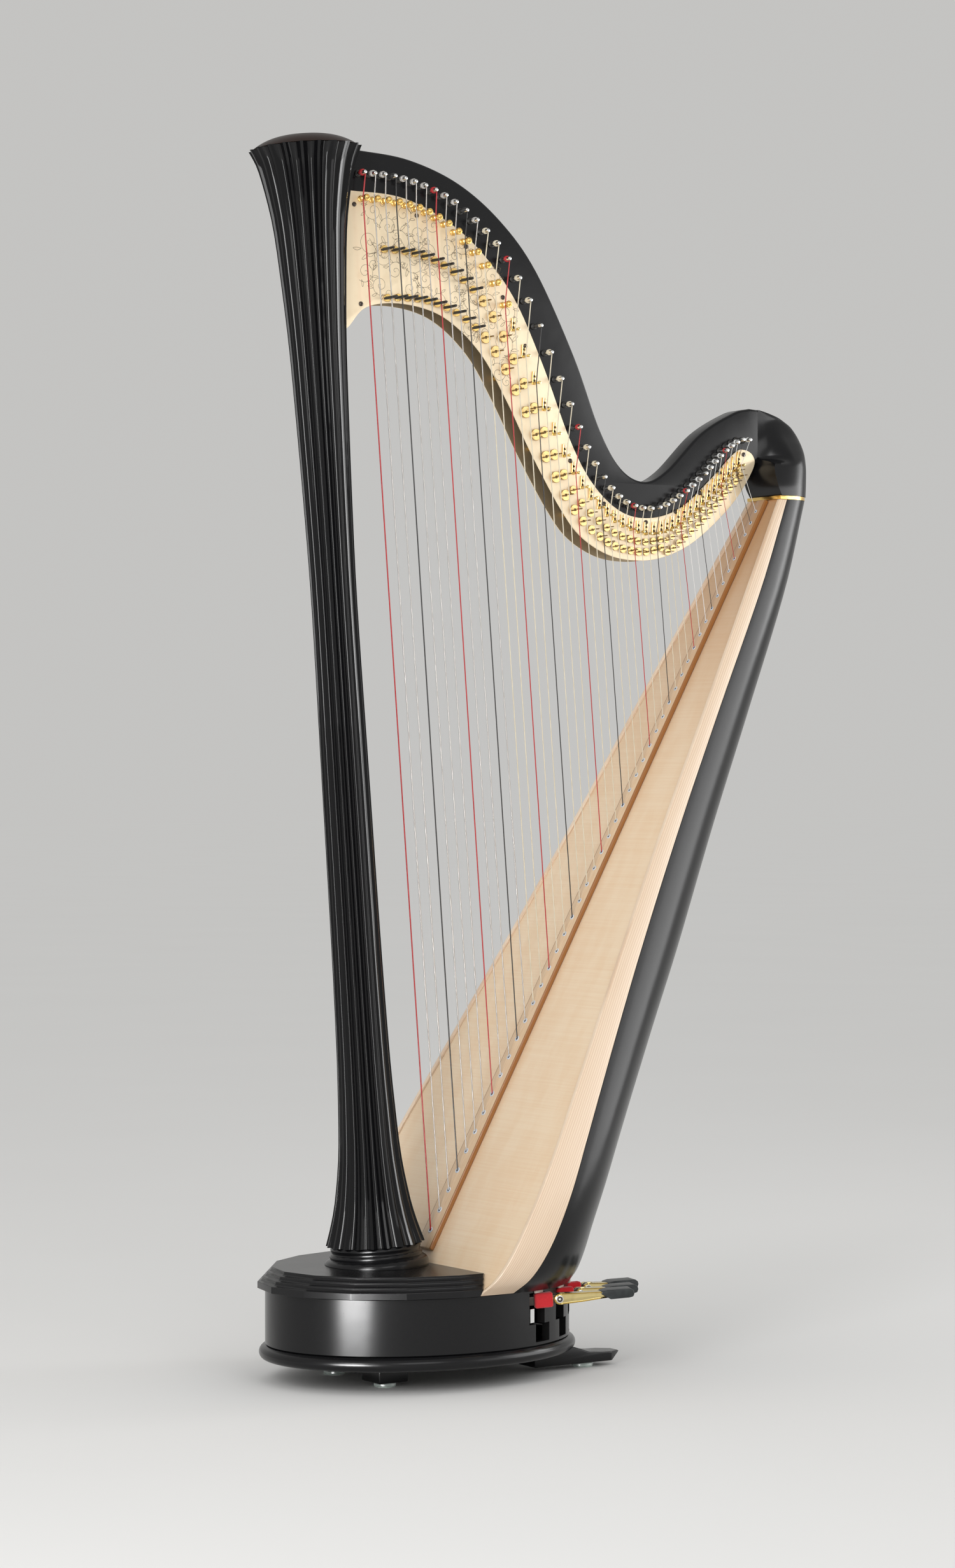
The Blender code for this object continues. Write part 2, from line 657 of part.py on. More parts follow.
def build_feet(finish):
    """Two block feet in front, two long feet behind, and a glide under each."""
    for side, word in ((-1, "left"), (1, "right")):
        x = BASE_X - FRONT_FOOT_X
        y = side * FRONT_FOOT_Y
        half = FRONT_FOOT_SIZE / 2
        top = BOARD_UNDERSIDE - GAP
        foot = box_between(
            "front_foot_" + word, (x - half, y - half, GLIDE_THICKNESS + GAP), (x + half, y + half, top))
        link(foot, finish["lacquer"])
        glide = cylinders("front_glide_" + word, [((x, y, 0.0), (x, y, GLIDE_THICKNESS), GLIDE_RADIUS)], 24)
        link(glide, finish["glide"], math.radians(40))

        low = GLIDE_THICKNESS + GAP
        tip_top = low + REAR_FOOT_TIP_HEIGHT
        shape = [
            (BASE_X + REAR_FOOT_ROOT_X, low), (BASE_X + REAR_FOOT_TIP_X - 0.020, low),
            (BASE_X + REAR_FOOT_TIP_X, tip_top - 0.002), (BASE_X + REAR_FOOT_TIP_X - 0.004, tip_top),
            (BASE_X + DRUM_LENGTH / 2 + 0.004, tip_top + 0.003),
            (BASE_X + DRUM_LENGTH / 2 - 0.020, top), (BASE_X + REAR_FOOT_ROOT_X, top)]
        y = side * REAR_FOOT_Y
        foot = flat_piece("rear_foot_" + word, shape, y - REAR_FOOT_WIDTH / 2, y + REAR_FOOT_WIDTH / 2)
        for sign in (-1, 1):
            corner = Matrix.Translation((BASE_X + REAR_FOOT_TIP_X, y, 0.02))
            corner = corner @ Matrix.Rotation(-sign * math.radians(32), 4, "Z")
            corner = corner @ Matrix.Translation((0.0, sign * (0.05 + 0.006), 0.0))
            cutter = box("rear_foot_cutter_%s_%d" % (word, sign), (0.20, 0.10, 0.10), corner)
            cut(foot, link_cutter(cutter))
        link(foot, finish["lacquer"])
        x = BASE_X + REAR_FOOT_TIP_X - 0.064
        glide = cylinders("rear_glide_" + word, [((x, y, 0.0), (x, y, GLIDE_THICKNESS), GLIDE_RADIUS)], 24)
        link(glide, finish["glide"], math.radians(40))


def rod_hole_line():
    """The opening that the rods pass below the column: its two ends and its radius."""
    frame = column_matrix()
    radius = ROD_CIRCLE + ROD_RADIUS + ROD_HOLE_MARGIN
    return frame @ Vector((0, 0, -0.090)), frame @ Vector((0, 0, 0.010)), radius


def build_column(finish):
    """The fluted column, its turned foot and its crown cap."""
    frame = column_matrix()
    length = column_length()
    rings = []
    for height, radius in COLUMN_PROFILE:
        ring = []
        for i in range(FLUTES):
            start = 2 * math.pi * i / FLUTES
            pitch = 2 * math.pi / FLUTES
            for share, depth in ((0.0, 0.0), (0.18, 0.0), (0.40, FLUTE_DEPTH), (0.78, FLUTE_DEPTH)):
                angle = start + pitch * share
                reach = radius * (1.0 - depth)
                ring.append(frame @ Vector((reach * math.cos(angle), reach * math.sin(angle), height)))
        rings.append(ring)
    column = loft("column", rings)
    bore = [(frame @ Vector((0, 0, -0.02)), frame @ Vector((0, 0, length + 0.02)), BORE_RADIUS)]
    cut(column, link_cutter(cylinders("column_bore_cutter", bore, 16)))
    link(column, finish["lacquer"], math.radians(35))

    profile = [(0.0, FOOT_RINGS[0][0])] + [(radius, height) for height, radius in FOOT_RINGS]
    profile.append((0.0, FOOT_RINGS[-1][0]))
    foot = turned("column_foot", profile, 40, frame)
    ground = box_between(
        "column_foot_cutter", (BASE_X - 0.3, -0.2, PLINTH_TOP - 0.1), (BASE_X + 0.1, 0.2, PLINTH_TOP + GAP))
    cut(foot, link_cutter(ground))
    face = face_matrix() @ Matrix.Translation((0.0, 0.0, -0.25 + STRIP_HEIGHT + 0.0010))
    cut(foot, link_cutter(box("column_foot_face_cutter", (0.5, 0.5, 0.5), face)))
    guides = []
    for i in range(len(PEDALS)):
        place = rod_place(i)
        low = frame @ Vector((place.x, place.y, -0.10))
        high = frame @ Vector((place.x, place.y, 0.02))
        guides.append((low, high, ROD_RADIUS + RUNNING_GAP))
    cut(foot, link_cutter(cylinders("rod_guide_cutter", guides, 10)))
    link(foot, finish["lacquer"], math.radians(35))

    rim = COLUMN_PROFILE[-1][0] + GAP
    crown = []
    for share in (0.0, 0.38, 0.69, 0.88, 0.975, 1.0):
        crown.append((share * CROWN_RADIUS, rim + CROWN_RISE * (1.0 - share ** 3)))
    crown.append((0.0, rim))
    cap = turned("crown_cap", crown, 40, frame)
    link(cap, finish["cap_wood"], math.radians(35))


def column_clearance_cutter(name):
    """A plain turned body that is a little larger than the column and its cap."""
    widest = COLUMN_PROFILE[-1][1] + 2 * GAP
    profile = [(0.0, column_length() + 0.06), (widest, column_length() + 0.06)]
    for height, radius in reversed(COLUMN_PROFILE):
        profile.append((radius + 2 * GAP, height))
    profile.append((0.0, COLUMN_PROFILE[0][0]))
    return link_cutter(turned(name, profile, 60, column_matrix()))


def rod_place(index):
    """One rod in the middle and the others round it, in the column's frame."""
    if index == 3:
        return Vector((0.0, 0.0))
    turn = index if index < 3 else index - 1
    angle = 2 * math.pi * turn / (len(PEDALS) - 1)
    return Vector((ROD_CIRCLE * math.cos(angle), ROD_CIRCLE * math.sin(angle)))


def build_rods(finish):
    """Seven rods that slide along the column's bore."""
    frame = column_matrix()
    for i, pedal in enumerate(PEDALS):
        place = rod_place(i)
        bm = bmesh.new()
        add_cylinder(bm, Vector((0, 0, ROD_BOTTOM)), Vector((0, 0, ROD_TOP)), ROD_RADIUS, 8)
        rod = mesh_object("pedal_rod_" + pedal[0], bm)
        rod.matrix_world = frame @ Matrix.Translation((place.x, place.y, 0.0))
        link(rod, finish["steel"], math.radians(60))


def station(height):
    """Half width, band depth and shell depth of the body at a height."""
    return read_curve(BODY_STATIONS, height)


def half_oval(centre, width, depth, height):
    """Points round the back of the body at a height, from its left edge to its right edge."""
    points = []
    for i in range(SHELL_POINTS + 1):
        angle = -math.pi / 2 + math.pi * i / SHELL_POINTS
        points.append(Vector((centre + depth * math.cos(angle), width * math.sin(angle), height)))
    return points


def board_half_width(height):
    """Half width of the soundboard, whose back edge lies a little lower than its face."""
    drop = BOARD_THICKNESS * face_normal().z
    below = max(height - drop, BODY_STATIONS[0][0])
    lower = station(below)[0] - (drop - (height - below)) * 1.5
    return min(station(height)[0], lower) - RIM_WIDTH - 3 * GAP


def build_body(finish):
    """Soundboard, its two side bands, the shell behind and the strip that carries the strings."""
    frame = face_matrix()
    rows = [row[0] for row in BODY_STATIONS]
    along = [(height - FACE_FOOT_Z) / face_direction().z for height in rows]
    outline = [(board_half_width(height), up) for height, up in zip(rows, along)]
    outline += [(-across, up) for across, up in reversed(outline)]
    curve = bpy.data.curves.new("soundboard", "CURVE")
    curve.dimensions = "2D"
    curve.fill_mode = "BOTH"
    curve.extrude = BOARD_THICKNESS / 2
    spline = curve.splines.new("POLY")
    spline.points.add(len(outline) - 1)
    for point, (across, up) in zip(spline.points, outline):
        point.co = (across, up, 0.0, 1.0)
    spline.use_cyclic_u = True
    board = mesh_from_curve("soundboard", curve, frame @ Matrix.Translation((0, 0, -BOARD_THICKNESS / 2)))
    ends = [
        box_between("board_top_cutter", (-0.2, -0.3, BODY_TOP), (0.8, 0.3, BODY_TOP + 0.2)),
        box_between("board_bottom_cutter", (-0.8, -0.3, -0.1), (0.4, 0.3, DRUM_TOP + GAP)),
    ]
    for end in ends:
        cut(board, link_cutter(end))
    link(board, finish["spruce"])

    for side, word in ((-1, "left"), (1, "right")):
        rings = []
        for height in rows:
            width, band, _ = station(height)
            front = face_x(height) + RIM_RISE / face_normal().x
            back = face_x(height) + band
            ring = [
                Vector((front, side * width, height)), Vector((back, side * width, height)),
                Vector((back, side * (width - RIM_WIDTH), height)),
                Vector((front, side * (width - RIM_WIDTH), height))]
            rings.append(ring)
        link(loft("side_band_" + word, rings), finish["maple"], math.radians(25))

    rings = []
    for height in rows:
        width, band, depth = station(height)
        centre = face_x(height) + band + GAP
        outer = half_oval(centre, width, depth, height)
        inner = half_oval(centre, width - SHELL_WALL, depth - SHELL_WALL, height)
        rings.append(outer + list(reversed(inner)))
    shell = loft("soundbox_shell", rings)
    for i, (height, half_height, half_width) in enumerate(SOUND_HOLES):
        width, band, depth = station(height)
        back = face_x(height) + band + depth
        hole = cylinders("sound_hole_cutter_%d" % (i + 1), [((-0.08, 0, 0), (0.07, 0, 0), 1.0)], 24)
        hole.matrix_world = Matrix.Translation((back, 0.0, height)) @ Matrix.Diagonal(
            (1.0, half_width, half_height, 1.0))
        cut(shell, link_cutter(hole))
    link(shell, finish["lacquer"], math.radians(30))


def strip_rings(clear):
    """The lower and upper end of the raised strip, made larger all round by a clearance."""
    frame = face_matrix()
    low = hole_distance(STRING_COUNT) - STRIP_LOW_MARGIN - clear
    high = FIRST_HOLE + STRIP_HIGH_MARGIN + clear
    top = STRIP_HEIGHT + clear
    rings = []
    for up, half in ((low, STRIP_WIDTH / 2 + clear), (high, STRIP_TOP_WIDTH / 2 + clear)):
        inset = half - STRIP_BEVEL
        corners = ((-half, GAP - clear), (half, GAP - clear), (inset, top), (-inset, top))
        rings.append([frame @ Vector((across, up, out)) for across, out in corners])
    return rings


def build_strings(finish):
    """The raised strip along the soundboard with all forty-seven strings fused into it."""
    strip = loft("strings", strip_rings(0.0))
    curve = bpy.data.curves.new("string_run", "CURVE")
    curve.dimensions = "3D"
    curve.bevel_depth = 1.0
    curve.bevel_resolution = 0
    curve.use_fill_caps = True
    for number in range(1, STRING_COUNT + 1):
        radius = string_radius(number)
        hole = string_hole(number)
        top = string_top(number)
        run = (hole - top).normalized()
        peg = tuning_point(number) - Vector((TUNING_PIN_RADIUS + radius + GAP, 0.0, 0.0))
        points = (hole + run * STRING_SINK, top, peg)
        spline = curve.splines.new("POLY")
        spline.points.add(len(points) - 1)
        for point, place in zip(spline.points, points):
            point.co = (*place, 1.0)
            point.radius = radius
    runs = mesh_from_curve("string_runs", curve, Matrix())
    join(strip, link_cutter(runs))
    link(strip, finish["string"])


def neck_outline():
    upper = smooth_through([(BASE_X + x, z) for x, z in NECK_UPPER], 3)
    lower = smooth_through([(BASE_X + x, z) for x, z in NECK_LOWER], 3)
    end = [(SHOULDER_SPLIT_X, SHOULDER_STATIONS[i][0]) for i in (-1, SHOULDER_SPLIT_ROW)]
    return [tuple(p) for p in upper] + end + [tuple(p) for p in lower]


def plate_outline():
    upper = smooth_through([(BASE_X + x, z) for x, z in PLATE_UPPER], 3)
    lower = smooth_through([(BASE_X + x, z) for x, z in PLATE_LOWER], 3)
    return [tuple(p) for p in upper] + [tuple(p) for p in lower]


def build_neck(finish):
    """Neck beam with its tuning pins, the two action plates and what they carry."""
    neck = flat_piece("neck", neck_outline(), NECK_LEFT, NECK_RIGHT)
    cut(neck, column_clearance_cutter("neck_column_cutter"))
    pins = []
    for number in range(1, STRING_COUNT + 1):
        place = tuning_point(number)
        left = Vector((place.x, NECK_LEFT - TUNING_PIN_LEFT, place.z))
        right = Vector((place.x, NECK_RIGHT + TUNING_PIN_RIGHT, place.z))
        pins.append((left, right, TUNING_PIN_RADIUS))
    join(neck, link_cutter(cylinders("tuning_pins", pins, 6)))
    link(neck, finish["lacquer"], math.radians(30))

    left_out = NECK_LEFT - GAP - PLATE_THICKNESS
    left = flat_piece("left_action_plate", plate_outline(), left_out, NECK_LEFT - GAP)
    cut(left, column_clearance_cutter("left_plate_column_cutter"))
    posts = []
    for number in range(1, STRING_COUNT + 1):
        place = bridge_point(number)
        outer = Vector((place.x, NECK_LEFT - BRIDGE_PIN_LENGTH, place.z))
        inner = Vector((place.x, NECK_LEFT - GAP - PLATE_THICKNESS / 2, place.z))
        posts.append((outer, inner, BRIDGE_PIN_RADIUS))
    join(left, link_cutter(cylinders("bridge_pins", posts, 6)))
    holes = []
    for _, number in OCTAVE:
        place = natural_disc_point(number)
        holes.append((
            Vector((place.x, left_out - 0.01, place.z)), Vector((place.x, NECK_LEFT + 0.01, place.z)),
            SPINDLE_RADIUS + RUNNING_GAP))
    cut(left, link_cutter(cylinders("spindle_hole_cutter", holes, 12)))
    link(left, finish["plate"], math.radians(30))

    right_in = NECK_RIGHT + GAP
    right = flat_piece("right_action_plate", plate_outline(), right_in, right_in + PLATE_THICKNESS)
    cut(right, column_clearance_cutter("right_plate_column_cutter"))
    spacers = []
    for x, z in SPACERS:
        spacers.append(((BASE_X + x, NECK_LEFT, z), (BASE_X + x, right_in + 0.001, z), SPACER_RADIUS))
    join(right, link_cutter(cylinders("plate_spacers", spacers, 8)))
    clear = []
    for number in range(1, STRING_COUNT + 1):
        place = tuning_point(number)
        clear.append((
            Vector((place.x, NECK_RIGHT - 0.01, place.z)), Vector((place.x, NECK_RIGHT + 0.02, place.z)),
            TUNING_PIN_RADIUS + GAP))
    cut(right, link_cutter(cylinders("right_plate_pin_cutter", clear, 6)))
    link(right, finish["plate"], math.radians(30))


def natural_disc_point(number):
    """Where the natural disc of a string sits on the left plate."""
    hole = string_hole(number)
    top = string_top(number)
    length = (hole - top).length
    run = (hole - top).normalized()
    return top + run * (DISC_OFFSET + DISC_SHARE * length)


def build_discs(finish):
    """The turning discs of one octave, each with its two prongs and its spindle."""
    face = NECK_LEFT - GAP - PLATE_THICKNESS
    for name, number in OCTAVE:
        place = natural_disc_point(number)
        centre = Vector((place.x, face - GAP, place.z))
        outer = Vector((0.0, -DISC_THICKNESS, 0.0))
        disc = cylinders("natural_disc_" + name, [(outer, Vector(), DISC_RADIUS)], 16)
        disc.location = centre
        tilt = Matrix.Rotation(-PRONG_TILT, 3, "Y")
        pieces = [(outer * 0.5, Vector((0.0, GAP + PLATE_THICKNESS + 0.0002, 0.0)), SPINDLE_RADIUS)]
        for sign in (-1, 1):
            foot = tilt @ Vector((sign * PRONG_PITCH, 0.0, 0.0))
            pieces.append((foot + outer * 0.5, foot + Vector((0.0, -PRONG_REACH, 0.0)), PRONG_RADIUS))
        extra = cylinders("disc_posts_" + name, pieces, 8)
        extra.location = centre
        join(disc, link_cutter(extra))
        link(disc, finish["brass"], math.radians(40))


def build_shoulder(finish):
    """The block that joins the neck to the top of the body, and the metal band beneath it."""
    rings = []
    for height, front, back, left, right in SHOULDER_STATIONS:
        middle = (left + right) / 2
        half = (right - left) / 2
        ring = []
        for i in range(13):
            angle = -math.pi / 2 + math.pi * i / 12
            reach = (back - front) * math.cos(angle) ** 0.72 if 0 < i < 12 else 0.0
            across = middle + half * math.copysign(abs(math.sin(angle)) ** 0.72, math.sin(angle))
            ring.append(Vector((BASE_X + front + reach, across, height)))
        rings.append(ring)
    link(loft("shoulder", rings), finish["lacquer"], math.radians(30))

    width, band, depth = station(BODY_TOP)
    bottom = BODY_TOP + GAP
    outline = []
    for i in range(13):
        angle = -math.pi / 2 + math.pi * i / 12
        x = face_x(BODY_TOP) + band + (depth + BAND_OVERHANG) * math.cos(angle)
        outline.append((x, (width + BAND_OVERHANG) * math.sin(angle)))
    front = face_x(BODY_TOP) - RIM_RISE
    outline = [(front, -width - BAND_OVERHANG)] + outline + [(front, width + BAND_OVERHANG)]
    rings = [
        [Vector((x, y, bottom)) for x, y in outline],
        [Vector((x, y, bottom + BAND_THICKNESS - 2 * GAP)) for x, y in outline]]
    link(loft("shoulder_band", rings), finish["brass"], math.radians(30))


def build_pedals(finish):
    """Seven levers with red felts, their folding brass arms and the rubber caps on them."""
    for pedal in PEDALS:
        build_pedal(pedal, finish)


def build_pedal(pedal, finish):
    name, arm_length = pedal[0], pedal[4]
    frame = pedal_frame(pedal)
    reach = (pedal_slot_point(pedal) - pedal_pivot(pedal)).length
    fold = fold_distance(pedal)
    half = LEVER_HEIGHT / 2

    lever = box("pedal_lever_" + name, (fold, LEVER_WIDTH, LEVER_HEIGHT))
    for vertex in lever.data.vertices:
        vertex.co.x += fold / 2
    lever.matrix_world = frame
    eye = cylinders("lever_ends_" + name, [
        (Vector((0, -BOSS_WIDTH / 2, 0)), Vector((0, BOSS_WIDTH / 2, 0)), EYE_RADIUS),
        (Vector((fold, -LEVER_WIDTH / 2, 0)), Vector((fold, LEVER_WIDTH / 2, 0)), half + 0.0015)], 16)
    eye.matrix_world = frame
    join(lever, link_cutter(eye))
    felt = box(
        "felt_" + name, (FELT_LENGTH, FELT_WIDTH, FELT_HEIGHT),
        frame @ Matrix.Translation((reach + FELT_START + FELT_LENGTH / 2, 0.0, 0.0)))
    join(lever, link_cutter(felt))
    holes = cylinders("lever_holes_" + name, [
        (Vector((0, -0.02, 0)), Vector((0, 0.02, 0)), PIVOT_RADIUS + RUNNING_GAP),
        (Vector((fold, -0.02, 0)), Vector((fold, 0.02, 0)), PIVOT_RADIUS + RUNNING_GAP)], 12)
    holes.matrix_world = frame
    cut(lever, link_cutter(holes))
    link(lever, finish["steel"])

    arm_frame = frame @ Matrix.Translation((fold, 0.0, 0.0))
    eye_half = half + 0.0015
    start = arm_length - CAP_LENGTH
    shape = [
        (0.006, -eye_half), (start - 0.004, -0.0045), (arm_length, -0.0035),
        (arm_length, 0.0035), (start - 0.004, 0.0047)]
    for i in range(7):
        angle = math.radians(90 + i * 30)
        shape.append((eye_half * math.cos(angle), eye_half * math.sin(angle)))
    arm = flat_piece("pedal_arm_" + name, shape, -ARM_WIDTH / 2, ARM_WIDTH / 2)
    arm.matrix_world = arm_frame @ arm.matrix_world
    fork = box(
        "arm_fork_cutter_" + name, (2 * eye_half + 0.008, LEVER_WIDTH + 2 * RUNNING_GAP, 0.05),
        arm_frame @ Matrix.Translation((-0.002, 0.0, 0.0)))
    cut(arm, link_cutter(fork))
    pin = cylinders("fold_pin_" + name, [
        (Vector((0, -ARM_WIDTH / 2 + 0.001, 0)), Vector((0, ARM_WIDTH / 2 - 0.001, 0)), PIVOT_RADIUS)], 12)
    pin.matrix_world = arm_frame
    join(arm, link_cutter(pin))
    link(arm, finish["brass"])

    outer = [
        (start, -0.0065), (arm_length + 0.003, -0.0065), (arm_length + 0.006, -0.001),
        (arm_length + 0.001, 0.0065), (start + 0.010, 0.0075), (start, 0.0058)]
    cap = flat_piece("pedal_cap_" + name, outer, -CAP_WIDTH / 2, CAP_WIDTH / 2)
    cap.matrix_world = arm_frame @ cap.matrix_world
    pocket = [
        (start - 0.02, -0.0052), (arm_length + GAP, -0.0052), (arm_length + GAP, 0.0054), (start - 0.02, 0.0054)]
    pocket = flat_piece("cap_pocket_cutter_" + name, pocket, -ARM_WIDTH / 2 - GAP, ARM_WIDTH / 2 + GAP)
    pocket.matrix_world = arm_frame @ pocket.matrix_world
    cut(cap, link_cutter(pocket))
    link(cap, finish["rubber"])


def main():
    clear_scene()
    finish = make_materials()
    build_base(finish)
    build_plinth(finish)
    build_feet(finish)
    build_column(finish)
    build_rods(finish)
    build_body(finish)
    build_strings(finish)
    build_neck(finish)
    build_discs(finish)
    build_shoulder(finish)
    build_pedals(finish)


main()
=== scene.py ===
"""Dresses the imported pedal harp: fine pieces, finishes, studio and camera.

Everything is in metres in the frame of the CAD model. X runs from the column (-X) to the
player's shoulder block (+X), and -Y is the side that carries the strings and discs.
"""

from __future__ import annotations

import json
import logging
from contextlib import contextmanager
from dataclasses import dataclass
from enum import Enum
from math import asin, atan2, copysign, cos, pi, radians, sin
from typing import Callable, Iterator, Sequence

import bpy
from mathutils import Matrix, Vector

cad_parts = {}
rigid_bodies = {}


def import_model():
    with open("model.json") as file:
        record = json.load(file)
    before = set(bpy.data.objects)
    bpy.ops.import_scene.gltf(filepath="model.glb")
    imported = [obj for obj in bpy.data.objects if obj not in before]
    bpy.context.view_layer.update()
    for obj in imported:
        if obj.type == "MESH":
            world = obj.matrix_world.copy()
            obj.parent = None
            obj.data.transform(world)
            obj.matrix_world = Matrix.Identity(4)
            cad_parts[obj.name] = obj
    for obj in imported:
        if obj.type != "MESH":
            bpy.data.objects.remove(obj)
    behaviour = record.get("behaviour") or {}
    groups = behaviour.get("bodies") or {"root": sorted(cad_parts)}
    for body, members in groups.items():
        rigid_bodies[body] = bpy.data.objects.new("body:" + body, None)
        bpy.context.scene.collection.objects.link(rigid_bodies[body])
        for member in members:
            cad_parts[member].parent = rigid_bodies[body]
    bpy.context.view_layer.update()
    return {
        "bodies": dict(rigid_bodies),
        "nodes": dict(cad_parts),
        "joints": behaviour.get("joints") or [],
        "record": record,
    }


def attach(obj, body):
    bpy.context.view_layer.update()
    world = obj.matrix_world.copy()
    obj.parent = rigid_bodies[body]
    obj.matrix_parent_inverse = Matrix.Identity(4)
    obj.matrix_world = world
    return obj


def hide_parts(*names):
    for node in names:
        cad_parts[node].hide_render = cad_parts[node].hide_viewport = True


LOG = logging.getLogger("harp")

Colour = tuple[float, float, float]
Point2 = tuple[float, float]
Row = tuple[float, ...]
Piece = bpy.types.Object
Material = bpy.types.Material

# The strings' numbers, from the top.
STRINGS = range(1, 48)
# Clearance between seated pieces.
GAP = 0.0003
UP = Vector((0.0, 0.0, 1.0))
# The turn that stands an (X, Z) outline up, facing -Y.
UPRIGHT = Matrix.Rotation(pi / 2, 4, "X")


# Shader maths


def node_operator(operation: str, swapped: bool = False) -> Callable[..., "Signal"]:
    """Make the method behind one of Python's operators.

    Args:
        operation: what the Math node does.
        swapped: whether the signal stands on the right.

    Returns:
        A method that adds the Math node.
    """

    def apply(signal: "Signal", other: "Signal | float" = 0.0) -> "Signal":
        """Add the node."""
        return signal.sheet.math(operation, *((other, signal) if swapped else (signal, other)))

    return apply


class Signal:
    """A shader output that Python's operators work on."""

    __add__ = node_operator("ADD")
    __radd__ = node_operator("ADD", True)
    __sub__ = node_operator("SUBTRACT")
    __rsub__ = node_operator("SUBTRACT", True)
    __mul__ = node_operator("MULTIPLY")
    __rmul__ = node_operator("MULTIPLY", True)
    __abs__ = node_operator("ABSOLUTE")
    sine = node_operator("SINE")

    def __init__(self, sheet: "ShaderSheet", socket: bpy.types.NodeSocket) -> None:
        """Wrap one output socket of a sheet's node tree."""
        self.sheet = sheet
        self.socket = socket

    def rise(self, low: float, high: float) -> "Signal":
        """Climb smoothly from 0 to 1 between two values.

        Args:
            low: value at which the result leaves 0.
            high: value at which the result reaches 1.

        Returns:
            The smooth step.
        """
        return self.sheet.node(
            "ShaderNodeMapRange", "Result", {"Value": self, "From Min": low, "From Max": high},
            interpolation_type="SMOOTHSTEP")


class ShaderSheet:
    """The node tree of a finish, or of the sky."""

    def __init__(self, owner: Material | bpy.types.World) -> None:
        """Open the node tree of a new material or world."""
        owner.use_nodes = True
        self.owner = owner
        self.tree = owner.node_tree

    def node(
            self, kind: str, output: int | str = 0, values: dict | None = None, **settings: object) -> Signal:
        """Make any node.

        Args:
            kind: the node's type.
            output: which of its outputs is wanted.
            values: numbers, colours or signals for its input sockets.
            settings: the node's own settings.

        Returns:
            The output.
        """
        made = self.tree.nodes.new(kind)
        for key, setting in settings.items():
            setattr(made, key, setting)
        for key, value in (values or {}).items():
            self.feed(made.inputs[key], value)
        return Signal(self, made.outputs[output])

    def feed(self, socket: bpy.types.NodeSocket, value: object) -> None:
        """Link a signal to a socket, or set the socket's own value."""
        if isinstance(value, Signal):
            self.tree.links.new(value.socket, socket)
        else:
            socket.default_value = value

    def math(self, operation: str, first: "Signal | float", second: "Signal | float") -> Signal:
        """One Math node on signals or numbers."""
        return self.node("ShaderNodeMath", 0, {0: first, 1: second}, operation=operation)

    def place(self) -> Signal:
        """The point on the piece, in Object coordinates."""
        return self.node("ShaderNodeTexCoord", "Object")

    def split(self, vector: Signal) -> tuple[Signal, ...]:
        """The three parts of a vector."""
        first = self.node("ShaderNodeSeparateXYZ", 0, {0: vector})
        return tuple(Signal(self, part) for part in first.socket.node.outputs)

    def build_vector(self, x: Signal | float, y: Signal | float, z: Signal | float) -> Signal:
        """A vector from three signals or numbers."""
        return self.node("ShaderNodeCombineXYZ", 0, {0: x, 1: y, 2: z})

    def stretch(self, vector: Signal, scale: Colour) -> Signal:
        """A vector multiplied part by part."""
        return self.node("ShaderNodeVectorMath", 0, {0: vector, 1: scale}, operation="MULTIPLY")

    def noise(self, vector: Signal, scale: float, detail: float = 2.0, roughness: float = 0.5) -> Signal:
        """Fractal noise at a vector."""
        values = {"Vector": vector, "Scale": scale, "Detail": detail, "Roughness": roughness}
        return self.node("ShaderNodeTexNoise", 0, values)

    def mix(self, factor: Signal | float, first: "Signal | Colour", second: "Signal | Colour") -> Signal:
        """Blend two colours.

        Args:
            factor: 0 gives the first colour and 1 the second.
            first: a signal or a colour.
            second: a signal or a colour.

        Returns:
            The blended colour.
        """
        values = {0: factor}
        for index, colour in ((6, first), (7, second)):
            values[index] = colour if isinstance(colour, Signal) else (*colour, 1.0)
        return self.node("ShaderNodeMix", 2, values, data_type="RGBA")

    def bump(self, height: Signal, distance: float, strength: float = 1.0) -> Signal:
        """A bump of the given depth in metres."""
        values = {"Height": height, "Distance": distance, "Strength": strength}
        return self.node("ShaderNodeBump", "Normal", values)

    def surface(self, **values: object) -> Material:
        """Set the shader's sockets, named with _ for a space, and hand over the material."""
        for name, value in values.items():
            self.feed(self.tree.nodes["Principled BSDF"].inputs[name.replace("_", " ")], value)
        return self.owner


# Finishes


@dataclass(frozen=True)
class Lacquer:
    """Black lacquer over wood, from satin to a high polish."""

    name: str
    roughness: float
    colour: Colour = (0.0045, 0.0045, 0.0052)
    specular: float = 0.3

    def material(self) -> Material:
        """Build the finish: slight haze, dust and the ripple of a rubbed surface."""
        sheet = ShaderSheet(bpy.data.materials.new(self.name))
        place = sheet.place()
        haze = sheet.noise(place, 7.0, 3.0)
        dust = sheet.noise(place, 700.0, 1.0).rise(0.66, 0.8)
        ripple = sheet.noise(place, 26.0, 1.0)
        return sheet.surface(
            Base_Color=sheet.mix(dust * 0.35, self.colour, (0.016, 0.016, 0.018)),
            Roughness=self.roughness + (haze - 0.5) * 0.06 + dust * 0.05,
            Specular_IOR_Level=self.specular,
            Normal=sheet.bump(ripple, 0.00025))


